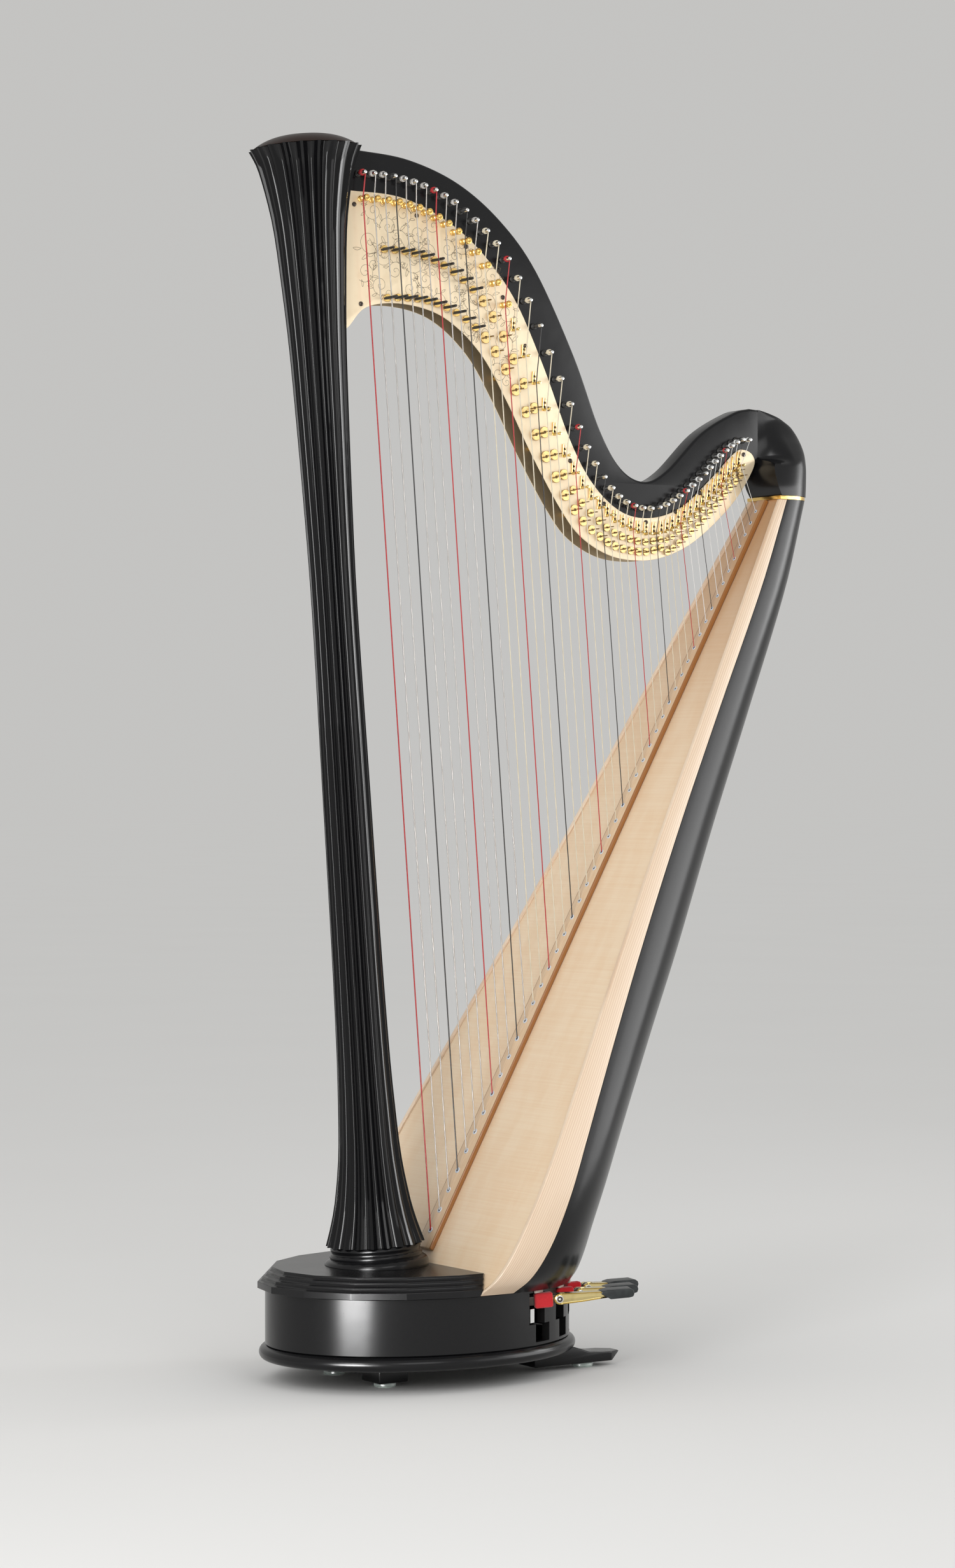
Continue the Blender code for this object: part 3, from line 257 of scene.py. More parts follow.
@dataclass(frozen=True)
class BoardWood:
    """Pale clear-finished soundboard with its grain across the board, browner towards the top."""

    name: str = "honey_spruce"
    pale: Colour = (0.9, 0.715, 0.505)
    warm: Colour = (0.845, 0.615, 0.395)
    top_tint: Colour = (0.47, 0.25, 0.115)

    def material(self) -> Material:
        """Build the finish from stretched noise: growth lines, cross figure and broad clouds."""
        sheet = ShaderSheet(bpy.data.materials.new(self.name))
        place = sheet.place()
        lines = sheet.noise(sheet.stretch(place, (60.0, 5.0, 420.0)), 1.0, 4.0, 0.65)
        figure = sheet.noise(sheet.stretch(place, (9.0, 34.0, 11.0)), 1.0, 3.0)
        clouds = sheet.noise(place, 3.2, 2.0)
        pores = sheet.noise(sheet.stretch(place, (500.0, 45.0, 900.0)), 1.0, 2.0)
        grain = lines.rise(0.3, 0.72) * 0.55 + figure.rise(0.36, 0.66) * 0.45
        wood = sheet.mix(grain, self.pale, self.warm)
        _, _, height = sheet.split(place)
        # Browner towards the top of the board.
        upward_browning = height.rise(0.8, 1.42) * (0.62 + clouds * 0.5)
        browned_upwards = sheet.mix(upward_browning, wood, self.top_tint)
        return sheet.surface(
            Base_Color=sheet.mix(clouds.rise(0.45, 0.8) * 0.25, browned_upwards, self.warm),
            Roughness=0.34 + (lines - 0.5) * 0.16,
            Coat_Weight=0.25,
            Coat_Roughness=0.18,
            Normal=sheet.bump(lines * 0.6 + pores * 0.4, 0.00012))


@dataclass(frozen=True)
class BentWood:
    """Pinkish laminated side, with layer lines that follow the board's edge."""

    name: str = "bent_maple"
    slope: float = 0.5554
    foot_x: float = -0.2071
    foot_z: float = 0.2121
    pale: Colour = (0.9, 0.72, 0.54)
    dark: Colour = (0.74, 0.52, 0.35)

    def material(self) -> Material:
        """Build the finish from the distance behind the board's face."""
        sheet = ShaderSheet(bpy.data.materials.new(self.name))
        place = sheet.place()
        x, _, z = sheet.split(place)
        behind = x - (z * self.slope + (self.foot_x - self.foot_z * self.slope))
        wander = sheet.noise(sheet.stretch(place, (10.0, 10.0, 2.5)), 1.0, 2.0)
        layers = ((behind * 1500.0 + wander * 9.0).sine() * 0.5 + 0.5).rise(0.2, 0.95)
        fibre = sheet.noise(sheet.build_vector(behind * 900.0, 12.0, z * 9.0), 1.0, 4.0, 0.6)
        tone = layers * 0.6 + fibre.rise(0.32, 0.7) * 0.32
        return sheet.surface(
            Base_Color=sheet.mix(tone, self.pale, self.dark),
            Roughness=0.33 + (fibre - 0.5) * 0.15,
            Coat_Weight=0.25,
            Coat_Roughness=0.18,
            Normal=sheet.bump(fibre, 0.0001))


@dataclass(frozen=True)
class StripWood:
    """The raised centre strip: pale on top, orange-brown down its two edges."""

    name: str = "strip_maple"
    low_half: float = 0.02
    high_half: float = 0.012
    low_height: float = 0.1859
    high_height: float = 1.335

    def material(self) -> Material:
        """Build the finish from the distance to the strip's tapering edge."""
        sheet = ShaderSheet(bpy.data.materials.new(self.name))
        place = sheet.place()
        _, y, z = sheet.split(place)
        taper = (self.high_half - self.low_half) / (self.high_height - self.low_height)
        half = z * taper + (self.low_half - self.low_height * taper)
        edge = (abs(y) - half).rise(-0.0034, -0.0016)
        lines = sheet.noise(sheet.stretch(place, (90.0, 420.0, 6.0)), 1.0, 3.0, 0.6)
        top = sheet.mix(lines.rise(0.3, 0.7) * 0.6, (0.78, 0.575, 0.375), (0.66, 0.43, 0.24))
        # Browner towards the top of the strip.
        browned_upwards = sheet.mix(z.rise(0.85, 1.4) * 0.85, top, (0.48, 0.26, 0.125))
        return sheet.surface(
            Base_Color=sheet.mix(edge, browned_upwards, (0.33, 0.13, 0.03)),
            Roughness=0.32 + (lines - 0.5) * 0.14,
            Coat_Weight=0.3,
            Coat_Roughness=0.15,
            Normal=sheet.bump(lines, 0.0001))


@dataclass(frozen=True)
class Metal:
    """Polished or satin metal with fine rubbing marks."""

    name: str
    colour: Colour
    roughness: float
    metallic: float = 1.0
    shade: Colour = (0.4, 0.22, 0.05)
    tarnish: float = 0.18
    marks: float = 0.00003

    def material(self) -> Material:
        """Build the finish: clouds of tarnish and a fine scratched bump."""
        sheet = ShaderSheet(bpy.data.materials.new(self.name))
        place = sheet.place()
        clouds = sheet.noise(place, 55.0, 3.0)
        scratches = sheet.noise(sheet.stretch(place, (1400.0, 1400.0, 260.0)), 1.0, 2.0)
        colour = sheet.mix(clouds.rise(0.5, 0.85) * self.tarnish, self.colour, self.shade)
        return sheet.surface(
            Base_Color=colour,
            Metallic=self.metallic,
            Roughness=self.roughness + (clouds - 0.5) * 0.1 + (scratches - 0.5) * 0.08,
            Normal=sheet.bump(scratches, self.marks))


@dataclass(frozen=True)
class Felt:
    """Thick pressed felt."""

    name: str
    colour: Colour
    fold: Colour

    def material(self) -> Material:
        """Build the finish from matted fibres."""
        sheet = ShaderSheet(bpy.data.materials.new(self.name))
        place = sheet.place()
        fibres = sheet.noise(sheet.stretch(place, (1.0, 1.0, 0.6)), 1900.0, 4.0, 0.7)
        lumps = sheet.noise(place, 260.0, 2.0)
        return sheet.surface(
            Base_Color=sheet.mix(fibres * 0.6 + lumps * 0.25, self.colour, self.fold),
            Roughness=0.95,
            Sheen_Weight=0.25,
            Normal=sheet.bump(fibres * 0.5 + lumps, 0.0006))


@dataclass(frozen=True)
class Moulded:
    """Moulded rubber or hard plastic."""

    name: str
    colour: Colour
    worn: Colour
    roughness: float
    grain: float = 0.00006

    def material(self) -> Material:
        """Build the finish: mottled tone and a fine moulded grain."""
        sheet = ShaderSheet(bpy.data.materials.new(self.name))
        place = sheet.place()
        mottle = sheet.noise(place, 90.0, 3.0)
        grain = sheet.noise(place, 1500.0, 2.0)
        return sheet.surface(
            Base_Color=sheet.mix(mottle.rise(0.35, 0.75), self.colour, self.worn),
            Roughness=self.roughness + (mottle - 0.5) * 0.16,
            Normal=sheet.bump(grain, self.grain))


@dataclass(frozen=True)
class StringSkin:
    """Gut, nylon or wound wire."""

    name: str
    colour: Colour
    tint: Colour
    roughness: float
    metallic: float = 0.0
    winding: float = 0.0

    def material(self) -> Material:
        """Build the finish; a wound string shows its turns as a fine bump along its length."""
        sheet = ShaderSheet(bpy.data.materials.new(self.name))
        place = sheet.place()
        _, _, height = sheet.split(place)
        cloud = sheet.noise(sheet.stretch(place, (20.0, 20.0, 60.0)), 1.0, 2.0)
        turns = (height * 9000.0).sine() * 0.5 + 0.5
        tone = cloud.rise(0.3, 0.7) * 0.6 + turns * self.winding * 0.4
        values = {
            "Base_Color": sheet.mix(tone, self.colour, self.tint),
            "Roughness": self.roughness + (cloud - 0.5) * 0.12,
            "Metallic": self.metallic,
        }
        if self.winding > 0.0:
            values["Normal"] = sheet.bump(turns, 0.00012 * self.winding)
        return sheet.surface(**values)


class Paint(Enum):
    """The harp's finishes."""

    GLOSS = Lacquer("black_gloss_lacquer", 0.06)
    SATIN = Lacquer("black_satin_lacquer", 0.24, (0.0058, 0.0058, 0.0066))
    CROWN = Lacquer("brown_black_crown", 0.34, (0.02, 0.009, 0.006), 0.1)
    # Near-black, almost unreflecting finish for the slots' cut walls: painted shade inside the slots.
    SLOT = Lacquer("raw_black_slot", 0.75, (0.0012, 0.0012, 0.0012), 0.08)
    BOARD = BoardWood()
    SIDE = BentWood()
    STRIP = StripWood()
    PLATE = Metal("cream_gold_plate", (0.96, 0.8, 0.56), 0.36, 0.3, (0.76, 0.56, 0.32), 0.3)
    # Darker copy of the plate brass for the right plate's inner face: painted shade between the plates.
    PLATE_INNER = Metal("dull_brass_plate", (0.33, 0.27, 0.18), 0.42, 0.6, (0.14, 0.1, 0.06), 0.6)
    GOLD = Metal("polished_gold_brass", (0.85, 0.58, 0.2), 0.2)
    # A lighter gold for the disc faces and a darker brass for their sides: lit and shaded copies of one brass, as
    # painted highlight and painted shade.
    DISC_FACE = Metal("bright_disc_gold", (0.94, 0.68, 0.29), 0.28, 0.75)
    DISC_DRUM = Metal("dark_disc_brass", (0.42, 0.27, 0.095), 0.28)
    BRASS = Metal("pedal_brass", (0.78, 0.64, 0.3), 0.17, 1.0, (0.34, 0.26, 0.08), 0.45)
    STEEL = Metal("bright_steel", (0.78, 0.78, 0.77), 0.2, 1.0, (0.42, 0.4, 0.38))
    DARK_SCREW = Metal("browned_steel", (0.085, 0.07, 0.06), 0.34, 0.75, (0.03, 0.025, 0.02))
    FORK = Metal("bronze_fork", (0.2, 0.135, 0.06), 0.3, 0.85, (0.06, 0.04, 0.02))
    ENGRAVING = Metal("engraved_line", (0.115, 0.085, 0.05), 0.55, 0.2, (0.05, 0.035, 0.02))
    SLEEVE = Moulded("black_prong_sleeve", (0.012, 0.011, 0.01), (0.025, 0.023, 0.02), 0.42)
    FELT = Felt("red_pedal_felt", (0.8, 0.004, 0.014), (0.48, 0.002, 0.008))
    PAD = Felt("pale_pad_felt", (0.76, 0.64, 0.56), (0.56, 0.44, 0.38))
    RUBBER = Moulded("dark_pedal_rubber", (0.012, 0.016, 0.017), (0.026, 0.033, 0.034), 0.36)
    GLIDE = Moulded("pale_glide_plastic", (0.6, 0.68, 0.64), (0.46, 0.54, 0.5), 0.26)
    EYELET = Moulded("pale_blue_eyelet", (0.56, 0.6, 0.68), (0.68, 0.7, 0.74), 0.3)
    # Near-black plugs in the eyelets: painted shade where the strings go into the board.
    HOLE = Moulded("dark_string_hole", (0.02, 0.014, 0.012), (0.04, 0.028, 0.02), 0.7)
    RED_STRING = StringSkin("red_c_string", (0.52, 0.012, 0.018), (0.4, 0.008, 0.012), 0.36)
    BLACK_STRING = StringSkin("black_f_string", (0.014, 0.013, 0.013), (0.03, 0.028, 0.026), 0.34)
    NYLON_STRING = StringSkin("white_nylon_string", (0.82, 0.82, 0.8), (0.74, 0.74, 0.72), 0.3)
    GUT_STRING = StringSkin("cream_gut_string", (0.76, 0.69, 0.54), (0.64, 0.56, 0.4), 0.42)
    WIRE_STRING = StringSkin("wound_wire_string", (0.62, 0.6, 0.58), (0.46, 0.44, 0.42), 0.32, 0.85, 1.0)

    def material(self) -> Material:
        """The finish as a material, built once."""
        known = bpy.data.materials.get(self.value.name)
        return known if known is not None else self.value.material()


# Workbench


class Bench:
    """Picks, shapes and finishes pieces with Blender's own operators."""

    @staticmethod
    def deselect() -> None:
        """Let go of every object."""
        bpy.ops.object.select_all(action="DESELECT")

    @staticmethod
    def pick(obj: Piece) -> None:
        """Make one object the only selected and active one."""
        Bench.deselect()
        obj.select_set(True)
        bpy.context.view_layer.objects.active = obj

    @staticmethod
    def take(name: str) -> Piece:
        """Name the primitive that was just added, and hand it over."""
        obj = bpy.context.view_layer.objects.active
        obj.name = name
        obj.data.name = name
        return obj

    @staticmethod
    def add(name: str, primitive: Callable[..., set[str]], **settings: object) -> Piece:
        """Add one primitive, lamp or camera with nothing else selected, and name it."""
        Bench.deselect()
        primitive(**settings)
        return Bench.take(name)

    @staticmethod
    @contextmanager
    def editing(obj: Piece, mode: str = "VERT") -> Iterator[Piece]:
        """Work on an object in edit mode, with everything in it selected."""
        Bench.pick(obj)
        bpy.ops.object.mode_set(mode="EDIT")
        bpy.ops.mesh.select_mode(type=mode)
        bpy.ops.mesh.select_all(action="SELECT")
        yield obj
        bpy.ops.object.mode_set(mode="OBJECT")

    @staticmethod
    def select(obj: Piece, kind: str, test: Callable[..., bool]) -> None:
        """Select, from edit mode, the vertices or polygons that pass a test."""
        bpy.ops.mesh.select_all(action="DESELECT")
        bpy.ops.object.mode_set(mode="OBJECT")
        for part in getattr(obj.data, kind):
            part.select = test(part)
        bpy.ops.object.mode_set(mode="EDIT")

    @staticmethod
    def grow(rings: Sequence[tuple[Vector, float, float]]) -> None:
        """Draw what is selected out ring by ring, in edit mode: extrude, carry and resize."""
        for (last, last_x, last_y), (spot, next_x, next_y) in zip(rings, rings[1:]):
            bpy.ops.mesh.extrude_region_move(TRANSFORM_OT_translate={"value": spot - last})
            Bench.resize(next_x / last_x, next_y / last_y, spot)

    @staticmethod
    def resize(x: float, y: float, centre: Sequence[float] = (0.0, 0.0, 0.0)) -> None:
        """Resize what is selected, in edit mode, along X and Y."""
        bpy.ops.transform.resize(value=(x, y, 1.0), center_override=centre)

    @staticmethod
    def settle(obj: Piece) -> Piece:
        """Put the object's place into its mesh."""
        Bench.pick(obj)
        bpy.ops.object.transform_apply(location=True, rotation=True, scale=True)
        return obj

    @staticmethod
    def move(obj: Piece, matrix: Matrix) -> Piece:
        """Carry a settled object to its place and settle it there."""
        obj.matrix_world = matrix @ obj.matrix_world
        return Bench.settle(obj)

    @staticmethod
    def close(obj: Piece) -> Piece:
        """Merge doubled points and turn all faces outwards."""
        with Bench.editing(obj):
            bpy.ops.mesh.remove_doubles(threshold=0.00001)
            bpy.ops.mesh.normals_make_consistent(inside=False)
        return obj

    @staticmethod
    def smooth(obj: Piece, degrees: float) -> Piece:
        """Shade smoothly, apart from edges sharper than an angle."""
        Bench.pick(obj)
        bpy.ops.object.shade_smooth_by_angle(angle=radians(degrees))
        return obj

    @staticmethod
    def modify(obj: Piece, kind: str, **settings: object) -> Piece:
        """Add one modifier with its settings and apply it."""
        Bench.pick(obj)
        modifier = obj.modifiers.new(kind.lower(), kind)
        for key, value in settings.items():
            setattr(modifier, key, value)
        bpy.ops.object.modifier_apply(modifier=modifier.name)
        return obj

    @staticmethod
    def bevel(obj: Piece, width: float, segments: int = 2, degrees: float = 30.0) -> Piece:
        """Round the edges that are sharper than an angle."""
        return Bench.modify(
            obj, "BEVEL", width=width, segments=segments, limit_method="ANGLE",
            angle_limit=radians(degrees))

    @staticmethod
    def carve(obj: Piece, tool: Piece, cut: Paint | None = None) -> Piece:
        """Cut a tool's shape out of a piece, with a finish for the cut, and put the tool away."""
        mode = "INDEX"
        if cut is not None:
            tool.data.materials.append(cut.material())
            mode = "TRANSFER"
        Bench.modify(obj, "BOOLEAN", operation="DIFFERENCE", solver="EXACT", material_mode=mode, object=tool)
        bpy.data.objects.remove(tool, do_unlink=True)
        return obj

    @staticmethod
    def join(pieces: Sequence[Piece], name: str) -> Piece:
        """Join pieces into one."""
        Bench.deselect()
        for piece in pieces:
            piece.select_set(True)
        bpy.context.view_layer.objects.active = pieces[0]
        if len(pieces) > 1:
            bpy.ops.object.join()
        return Bench.take(name)

    @staticmethod
    def scatter(
            pattern: Piece, places: Sequence[Matrix], name: str) -> Piece:
        """Copy a pattern to every place, each copy with its own mesh, and join the copies.

        Args:
            pattern: the settled piece to copy; it is removed afterwards.
            places: where the copies go.
            name: name of the joined piece.

        Returns:
            The joined piece.
        """
        copies = []
        for place in places:
            copy = pattern.copy()
            copy.data = pattern.data.copy()
            copy.data.transform(place)
            bpy.context.scene.collection.objects.link(copy)
            copies.append(copy)
        bpy.data.objects.remove(pattern, do_unlink=True)
        return Bench.join(copies, name)

    @staticmethod
    def block(name: str, low: Sequence[float], high: Sequence[float]) -> Piece:
        """A cube primitive shaped to fill a box."""
        middle = (Vector(low) + Vector(high)) / 2.0
        obj = Bench.add(name, bpy.ops.mesh.primitive_cube_add, size=1.0, location=middle)
        obj.scale = Vector(high) - Vector(low)
        return Bench.settle(obj)

    @staticmethod
    def rod(
            name: str, start: Sequence[float], end: Sequence[float], radius: float,
            sides: int = 24) -> Piece:
        """A cylinder primitive between two points."""
        along = Vector(end) - Vector(start)
        return Bench.settle(Bench.add(
            name, bpy.ops.mesh.primitive_cylinder_add, vertices=sides, radius=radius, depth=along.length,
            location=(Vector(start) + Vector(end)) / 2.0, rotation=UP.rotation_difference(along).to_euler()))

    @staticmethod
    def draw_out(
            name: str, sides: int, rings: Sequence[tuple[Vector, float, float]],
            open_arc: bool = False) -> Piece:
        """Draw a form out ring by ring: extrude, carry and resize.

        Args:
            name: name of the piece.
            sides: corners of the ring; 4 starts from a square.
            rings: centre, half length in X and half width in Y of each ring.
            open_arc: keep only the half of the ring towards +X, with no ends.

        Returns:
            The closed form, or the open sheet.
        """
        centre, half_x, half_y = rings[0]
        if sides == 4:
            obj = Bench.add(name, bpy.ops.mesh.primitive_plane_add, size=2.0)
        else:
            fill = "NOTHING" if open_arc else "NGON"
            obj = Bench.add(
                name, bpy.ops.mesh.primitive_circle_add, vertices=sides, radius=1.0, fill_type=fill)
        if open_arc:
            with Bench.editing(obj):
                Bench.select(obj, "vertices", lambda vertex: vertex.co.x < -0.0001)
                bpy.ops.mesh.delete(type="VERT")
        with Bench.editing(obj):
            Bench.resize(half_x, half_y)
            bpy.ops.transform.translate(value=centre)
            Bench.grow(rings)
        return obj if open_arc else Bench.close(obj)

    @staticmethod
    def lathe(name: str, sides: int, profile: Sequence[Point2], squeeze: float = 1.0) -> Piece:
        """Draw a turned form out from its lower end.

        Args:
            name: name of the piece.
            sides: corners of the turned form.
            profile: radius and height of each ring.
            squeeze: width over length, for an oval form.

        Returns:
            The closed form, upright on the origin.
        """
        rings = [(Vector((0.0, 0.0, height)), radius, radius * squeeze) for radius, height in profile]
        return Bench.draw_out(name, sides, rings)

    @staticmethod
    def trace(
            name: str, runs: Sequence[tuple[Sequence[Sequence[float]], float]], cyclic: bool,
            **settings: object) -> Piece:
        """Draw straight-sided curves and turn them into a mesh.

        Args:
            name: name of the piece.
            runs: points and radius of each curve.
            cyclic: whether each curve is closed.
            settings: the curve's own settings.

        Returns:
            The mesh piece, with its ends still open.
        """
        curve = bpy.data.curves.new(name, "CURVE")
        for key, setting in settings.items():
            setattr(curve, key, setting)
        for points, radius in runs:
            spline = curve.splines.new("POLY")
            spline.points.add(len(points) - 1)
            for point, spot in zip(spline.points, points):
                point.co = (*spot, 1.0)
                point.radius = radius
            spline.use_cyclic_u = cyclic
        obj = bpy.data.objects.new(name, curve)
        bpy.context.scene.collection.objects.link(obj)
        Bench.pick(obj)
        bpy.ops.object.convert(target="MESH")
        return Bench.take(name)

    @staticmethod
    def slab(
            name: str, outline: Sequence[Point2], low: float, high: float, edge: float = 0.0,
            frame: Matrix | None = None) -> Piece:
        """Fill a flat outline and give it thickness and soft edges.

        Args:
            name: name of the piece.
            outline: points in the plane of the frame's X and Y.
            low: lowest distance out of that plane.
            high: highest distance out of that plane.
            edge: radius of the rounded edges, inside the given size.
            frame: where the plane lies.

        Returns:
            The settled piece.
        """
        obj = Bench.trace(
            name, [([(x, y, 0.0) for x, y in outline], 1.0)], True, dimensions="2D", fill_mode="BOTH",
            extrude=(high - low) / 2.0 - edge, bevel_depth=edge, bevel_resolution=3, offset=-edge)
        obj.matrix_world = (frame or Matrix()) @ Matrix.Translation((0.0, 0.0, (low + high) / 2.0))
        return Bench.close(Bench.settle(obj))

    @staticmethod
    def wires(
            name: str, runs: Sequence[tuple[Sequence[Vector], float]], resolution: int) -> Piece:
        """Round wires along rows of points.

        Args:
            name: name of the piece.
            runs: points and radius of each wire.
            resolution: roundness of the wire.

        Returns:
            One mesh of closed wires.
        """
        return Bench.close(Bench.trace(
            name, runs, False, dimensions="3D", bevel_depth=1.0, bevel_resolution=resolution,
            use_fill_caps=True))

    @staticmethod
    def coat(obj: Piece, paint: Paint) -> None:
        """Give a piece its one finish."""
        obj.data.materials.clear()
        obj.data.materials.append(paint.material())

    @staticmethod
    def finish(
            obj: Piece, degrees: float, paint: Paint, slot: str, *nodes: str,
            body: str = "harp") -> Piece:
        """Shade a piece smoothly up to an angle, and dress it."""
        return Bench.dress(Bench.smooth(obj, degrees), paint, slot, *nodes, body=body)

    @staticmethod
    def dress(
            obj: Piece, paint: Paint, slot: str, *nodes: str,
            body: str = "harp") -> Piece:
        """Give a finished piece its finish, its body and the nodes that it stands for."""
        Bench.coat(obj, paint)
        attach(obj, body)
        if nodes:
            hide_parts(*nodes)
        LOG.info("%s: %d faces, rides on %s", obj.name, len(obj.data.polygons), body)
        return obj


# Plan


def read_curve(keys: Sequence[Row], place: float) -> list[float]:
    """Smoothly read a row of (place, value, value...) keys at one place.

    Args:
        keys: rows that begin with their place.
        place: where to read.

    Returns:
        The values there.
    """
    last = len(keys) - 1
    i = 0
    while i < last - 1 and place > keys[i + 1][0]:
        i += 1
    start = keys[i]
    end = keys[i + 1]
    before = keys[max(i - 1, 0)]
    after = keys[min(i + 2, last)]
    span = end[0] - start[0]
    t = (place - start[0]) / span
    values = []
    for j in range(1, len(start)):
        slope_in = (end[j] - before[j]) / (end[0] - before[0]) * span
        slope_out = (after[j] - start[j]) / (after[0] - start[0]) * span
        values.append(
            (2 * t ** 3 - 3 * t ** 2 + 1) * start[j] + (t ** 3 - 2 * t ** 2 + t) * slope_in
            + (3 * t ** 2 - 2 * t ** 3) * end[j] + (t ** 3 - t ** 2) * slope_out)
    return values


def smooth_through(points: Sequence[Point2], steps: int) -> list[Point2]:
    """Points along a Catmull-Rom curve through the given points.

    Args:
        points: what the curve passes.
        steps: points for each stretch.

    Returns:
        The denser row of points.
    """
    padded = [2 * Vector(points[0]) - Vector(points[1])]
    padded += [Vector(point) for point in points]
    padded.append(2 * Vector(points[-1]) - Vector(points[-2]))
    result = []
    for i in range(1, len(padded) - 2):
        before, start, end, after = padded[i - 1:i + 3]
        for k in range(steps):
            t = k / steps
            spot = 0.5 * (
                2 * start + (end - before) * t
                + (2 * before - 5 * start + 4 * end - after) * t ** 2
                + (3 * start - before - 3 * end + after) * t ** 3)
            result.append((spot.x, spot.y))
    result.append(tuple(points[-1]))
    return result


@dataclass(frozen=True)
class HarpPlan:
    """The lines that the harp's pieces share."""

    base_x: float = -0.2361
    drum_length: float = 0.486
    drum_width: float = 0.374
    drum_top: float = 0.139
    column_foot: Point2 = (-0.0762, 0.202)
    crown: Row = (-0.1775, 0.034, 1.835)
    face_foot: Point2 = (0.029, 0.2121)
    face_slope: float = 0.5554
    body_top: float = 1.338
    first_hole: float = 1.2628
    hole_pitch: float = 0.02132
    hole_pitch_growth: float = 0.0001337
    strip_height: float = 0.008
    neck_left: float = 0.0163
    neck_right: float = 0.0523
    plate_thickness: float = 0.0022
    bridge_radius: float = 0.003
    stations: tuple[Row, ...] = (
        (0.1393, 0.19, 0.057, 0.188), (0.16, 0.214, 0.058, 0.178), (0.19, 0.227, 0.058, 0.166),
        (0.23, 0.231, 0.057, 0.154), (0.29, 0.229, 0.052, 0.149), (0.36, 0.219, 0.045, 0.148),
        (0.5, 0.19, 0.037, 0.146), (0.636, 0.162, 0.031, 0.143), (0.82, 0.127, 0.026, 0.125),
        (1.003, 0.0985, 0.022, 0.107), (1.2, 0.066, 0.021, 0.082), (1.338, 0.043, 0.011, 0.0587),
    )
    bridge_keys: tuple[Row, ...] = (
        (1, 0.6097, 1.3925), (4, 0.5795, 1.367), (7, 0.5506, 1.3387), (10, 0.5144, 1.3122),
        (13, 0.4792, 1.2893), (15, 0.4578, 1.2815), (17, 0.4285, 1.278), (19, 0.3993, 1.284),
        (21, 0.369, 1.2951), (23, 0.3398, 1.3155), (25, 0.3076, 1.3456), (27, 0.2738, 1.393),
        (29, 0.2367, 1.4625), (31, 0.1983, 1.542), (33, 0.1603, 1.618), (35, 0.1228, 1.675),
        (38, 0.0699, 1.7222), (41, 0.0176, 1.7477), (44, -0.0352, 1.7581), (47, -0.0934, 1.7599),
    )
    tuning_keys: tuple[Row, ...] = (
        (1, 0.6202, 1.4332), (2, 0.6073, 1.4331), (4, 0.5858, 1.4223), (6, 0.5643, 1.4056),
        (9, 0.5336, 1.3763), (12, 0.4977, 1.3475), (15, 0.4591, 1.3244), (17, 0.4293, 1.3171),
        (19, 0.3979, 1.3202), (21, 0.3688, 1.3337), (23, 0.3395, 1.3625), (25, 0.3084, 1.4072),
        (27, 0.2768, 1.4722), (29, 0.239, 1.5498), (31, 0.1999, 1.6271), (33, 0.161, 1.6875),
        (35, 0.1219, 1.7272), (38, 0.0653, 1.7663), (41, 0.0106, 1.7867), (44, -0.0437, 1.7962),
        (47, -0.0972, 1.7977),
    )
    disc_rows: tuple[Row, ...] = (
        (14, 0.0035, 0.052, 0.0085, 0.112), (26, 0.0007, 0.0431, 0.0015, 0.094),
        (47, -0.003, 0.0503, -0.002, 0.0985),
    )

    @property
    def squeeze(self) -> float:
        """Width over length of the oval base."""
        return self.drum_width / self.drum_length

    @property
    def plate_face(self) -> float:
        """Y of the left action plate's outer face."""
        return self.neck_left - GAP - self.plate_thickness

    def column_frame(self) -> Matrix:
        """The leaning column's frame: origin at the foot of the flutes, Z up its axis."""
        foot = Vector((self.base_x + self.column_foot[0], 0.0, self.column_foot[1]))
        crown = Vector((self.base_x + self.crown[0], self.crown[1], self.crown[2]))
        turn = UP.rotation_difference(crown - foot).to_matrix().to_4x4()
        return Matrix.Translation(foot) @ turn

    def face_x(self, height: float) -> float:
        """X of the soundboard's face at a height."""
        return self.base_x + self.face_foot[0] + (height - self.face_foot[1]) * self.face_slope

    def face_frame(self) -> Matrix:
        """The face's frame at its foot: Y up the face, Z out of it towards the strings."""
        along = Vector((self.face_slope, 0.0, 1.0)).normalized()
        out = Vector((-along.z, 0.0, along.x))
        matrix = Matrix((along.cross(out), along, out)).transposed().to_4x4()
        matrix.translation = Vector((self.base_x + self.face_foot[0], 0.0, self.face_foot[1]))
        return matrix

    def bore_rods(self, obj: Piece, radius: float) -> Piece:
        """Cut the opening that the seven rods pass."""
        start, end = (self.column_frame() @ Vector((0.0, 0.0, height)) for height in (-0.09, 0.01))
        return Bench.carve(obj, Bench.rod("rod_opening", start, end, radius))

    def clear_board(self, obj: Piece, clear: float) -> Piece:
        """Cut a piece off along the soundboard, at a distance in front of its face."""
        tool = Bench.block("face_tool", (-0.5, -0.5, -0.5), (0.5, 0.5, clear))
        return Bench.carve(obj, Bench.move(tool, self.face_frame()))

    def station(self, height: float) -> list[float]:
        """Half width, side depth and shell depth of the body at a height."""
        return read_curve(self.stations, height)

    def hole_distance(self, number: int) -> float:
        """How far up the face a string leaves the strip."""
        step = number - 1
        return self.first_hole - self.hole_pitch * step - self.hole_pitch_growth * step ** 2

    def string_hole(self, number: int) -> Vector:
        """Where a string leaves the strip."""
        return self.face_frame() @ Vector((0.0, self.hole_distance(number), self.strip_height))

    def _pin(self, keys: Sequence[Row], number: int) -> Vector:
        """Centre of a pin, in the plane of the strings."""
        x, z = read_curve(keys, number)
        return Vector((self.base_x + x, 0.0, z))

    def bridge(self, number: int) -> Vector:
        """Centre of a string's bridge pin."""
        return self._pin(self.bridge_keys, number)

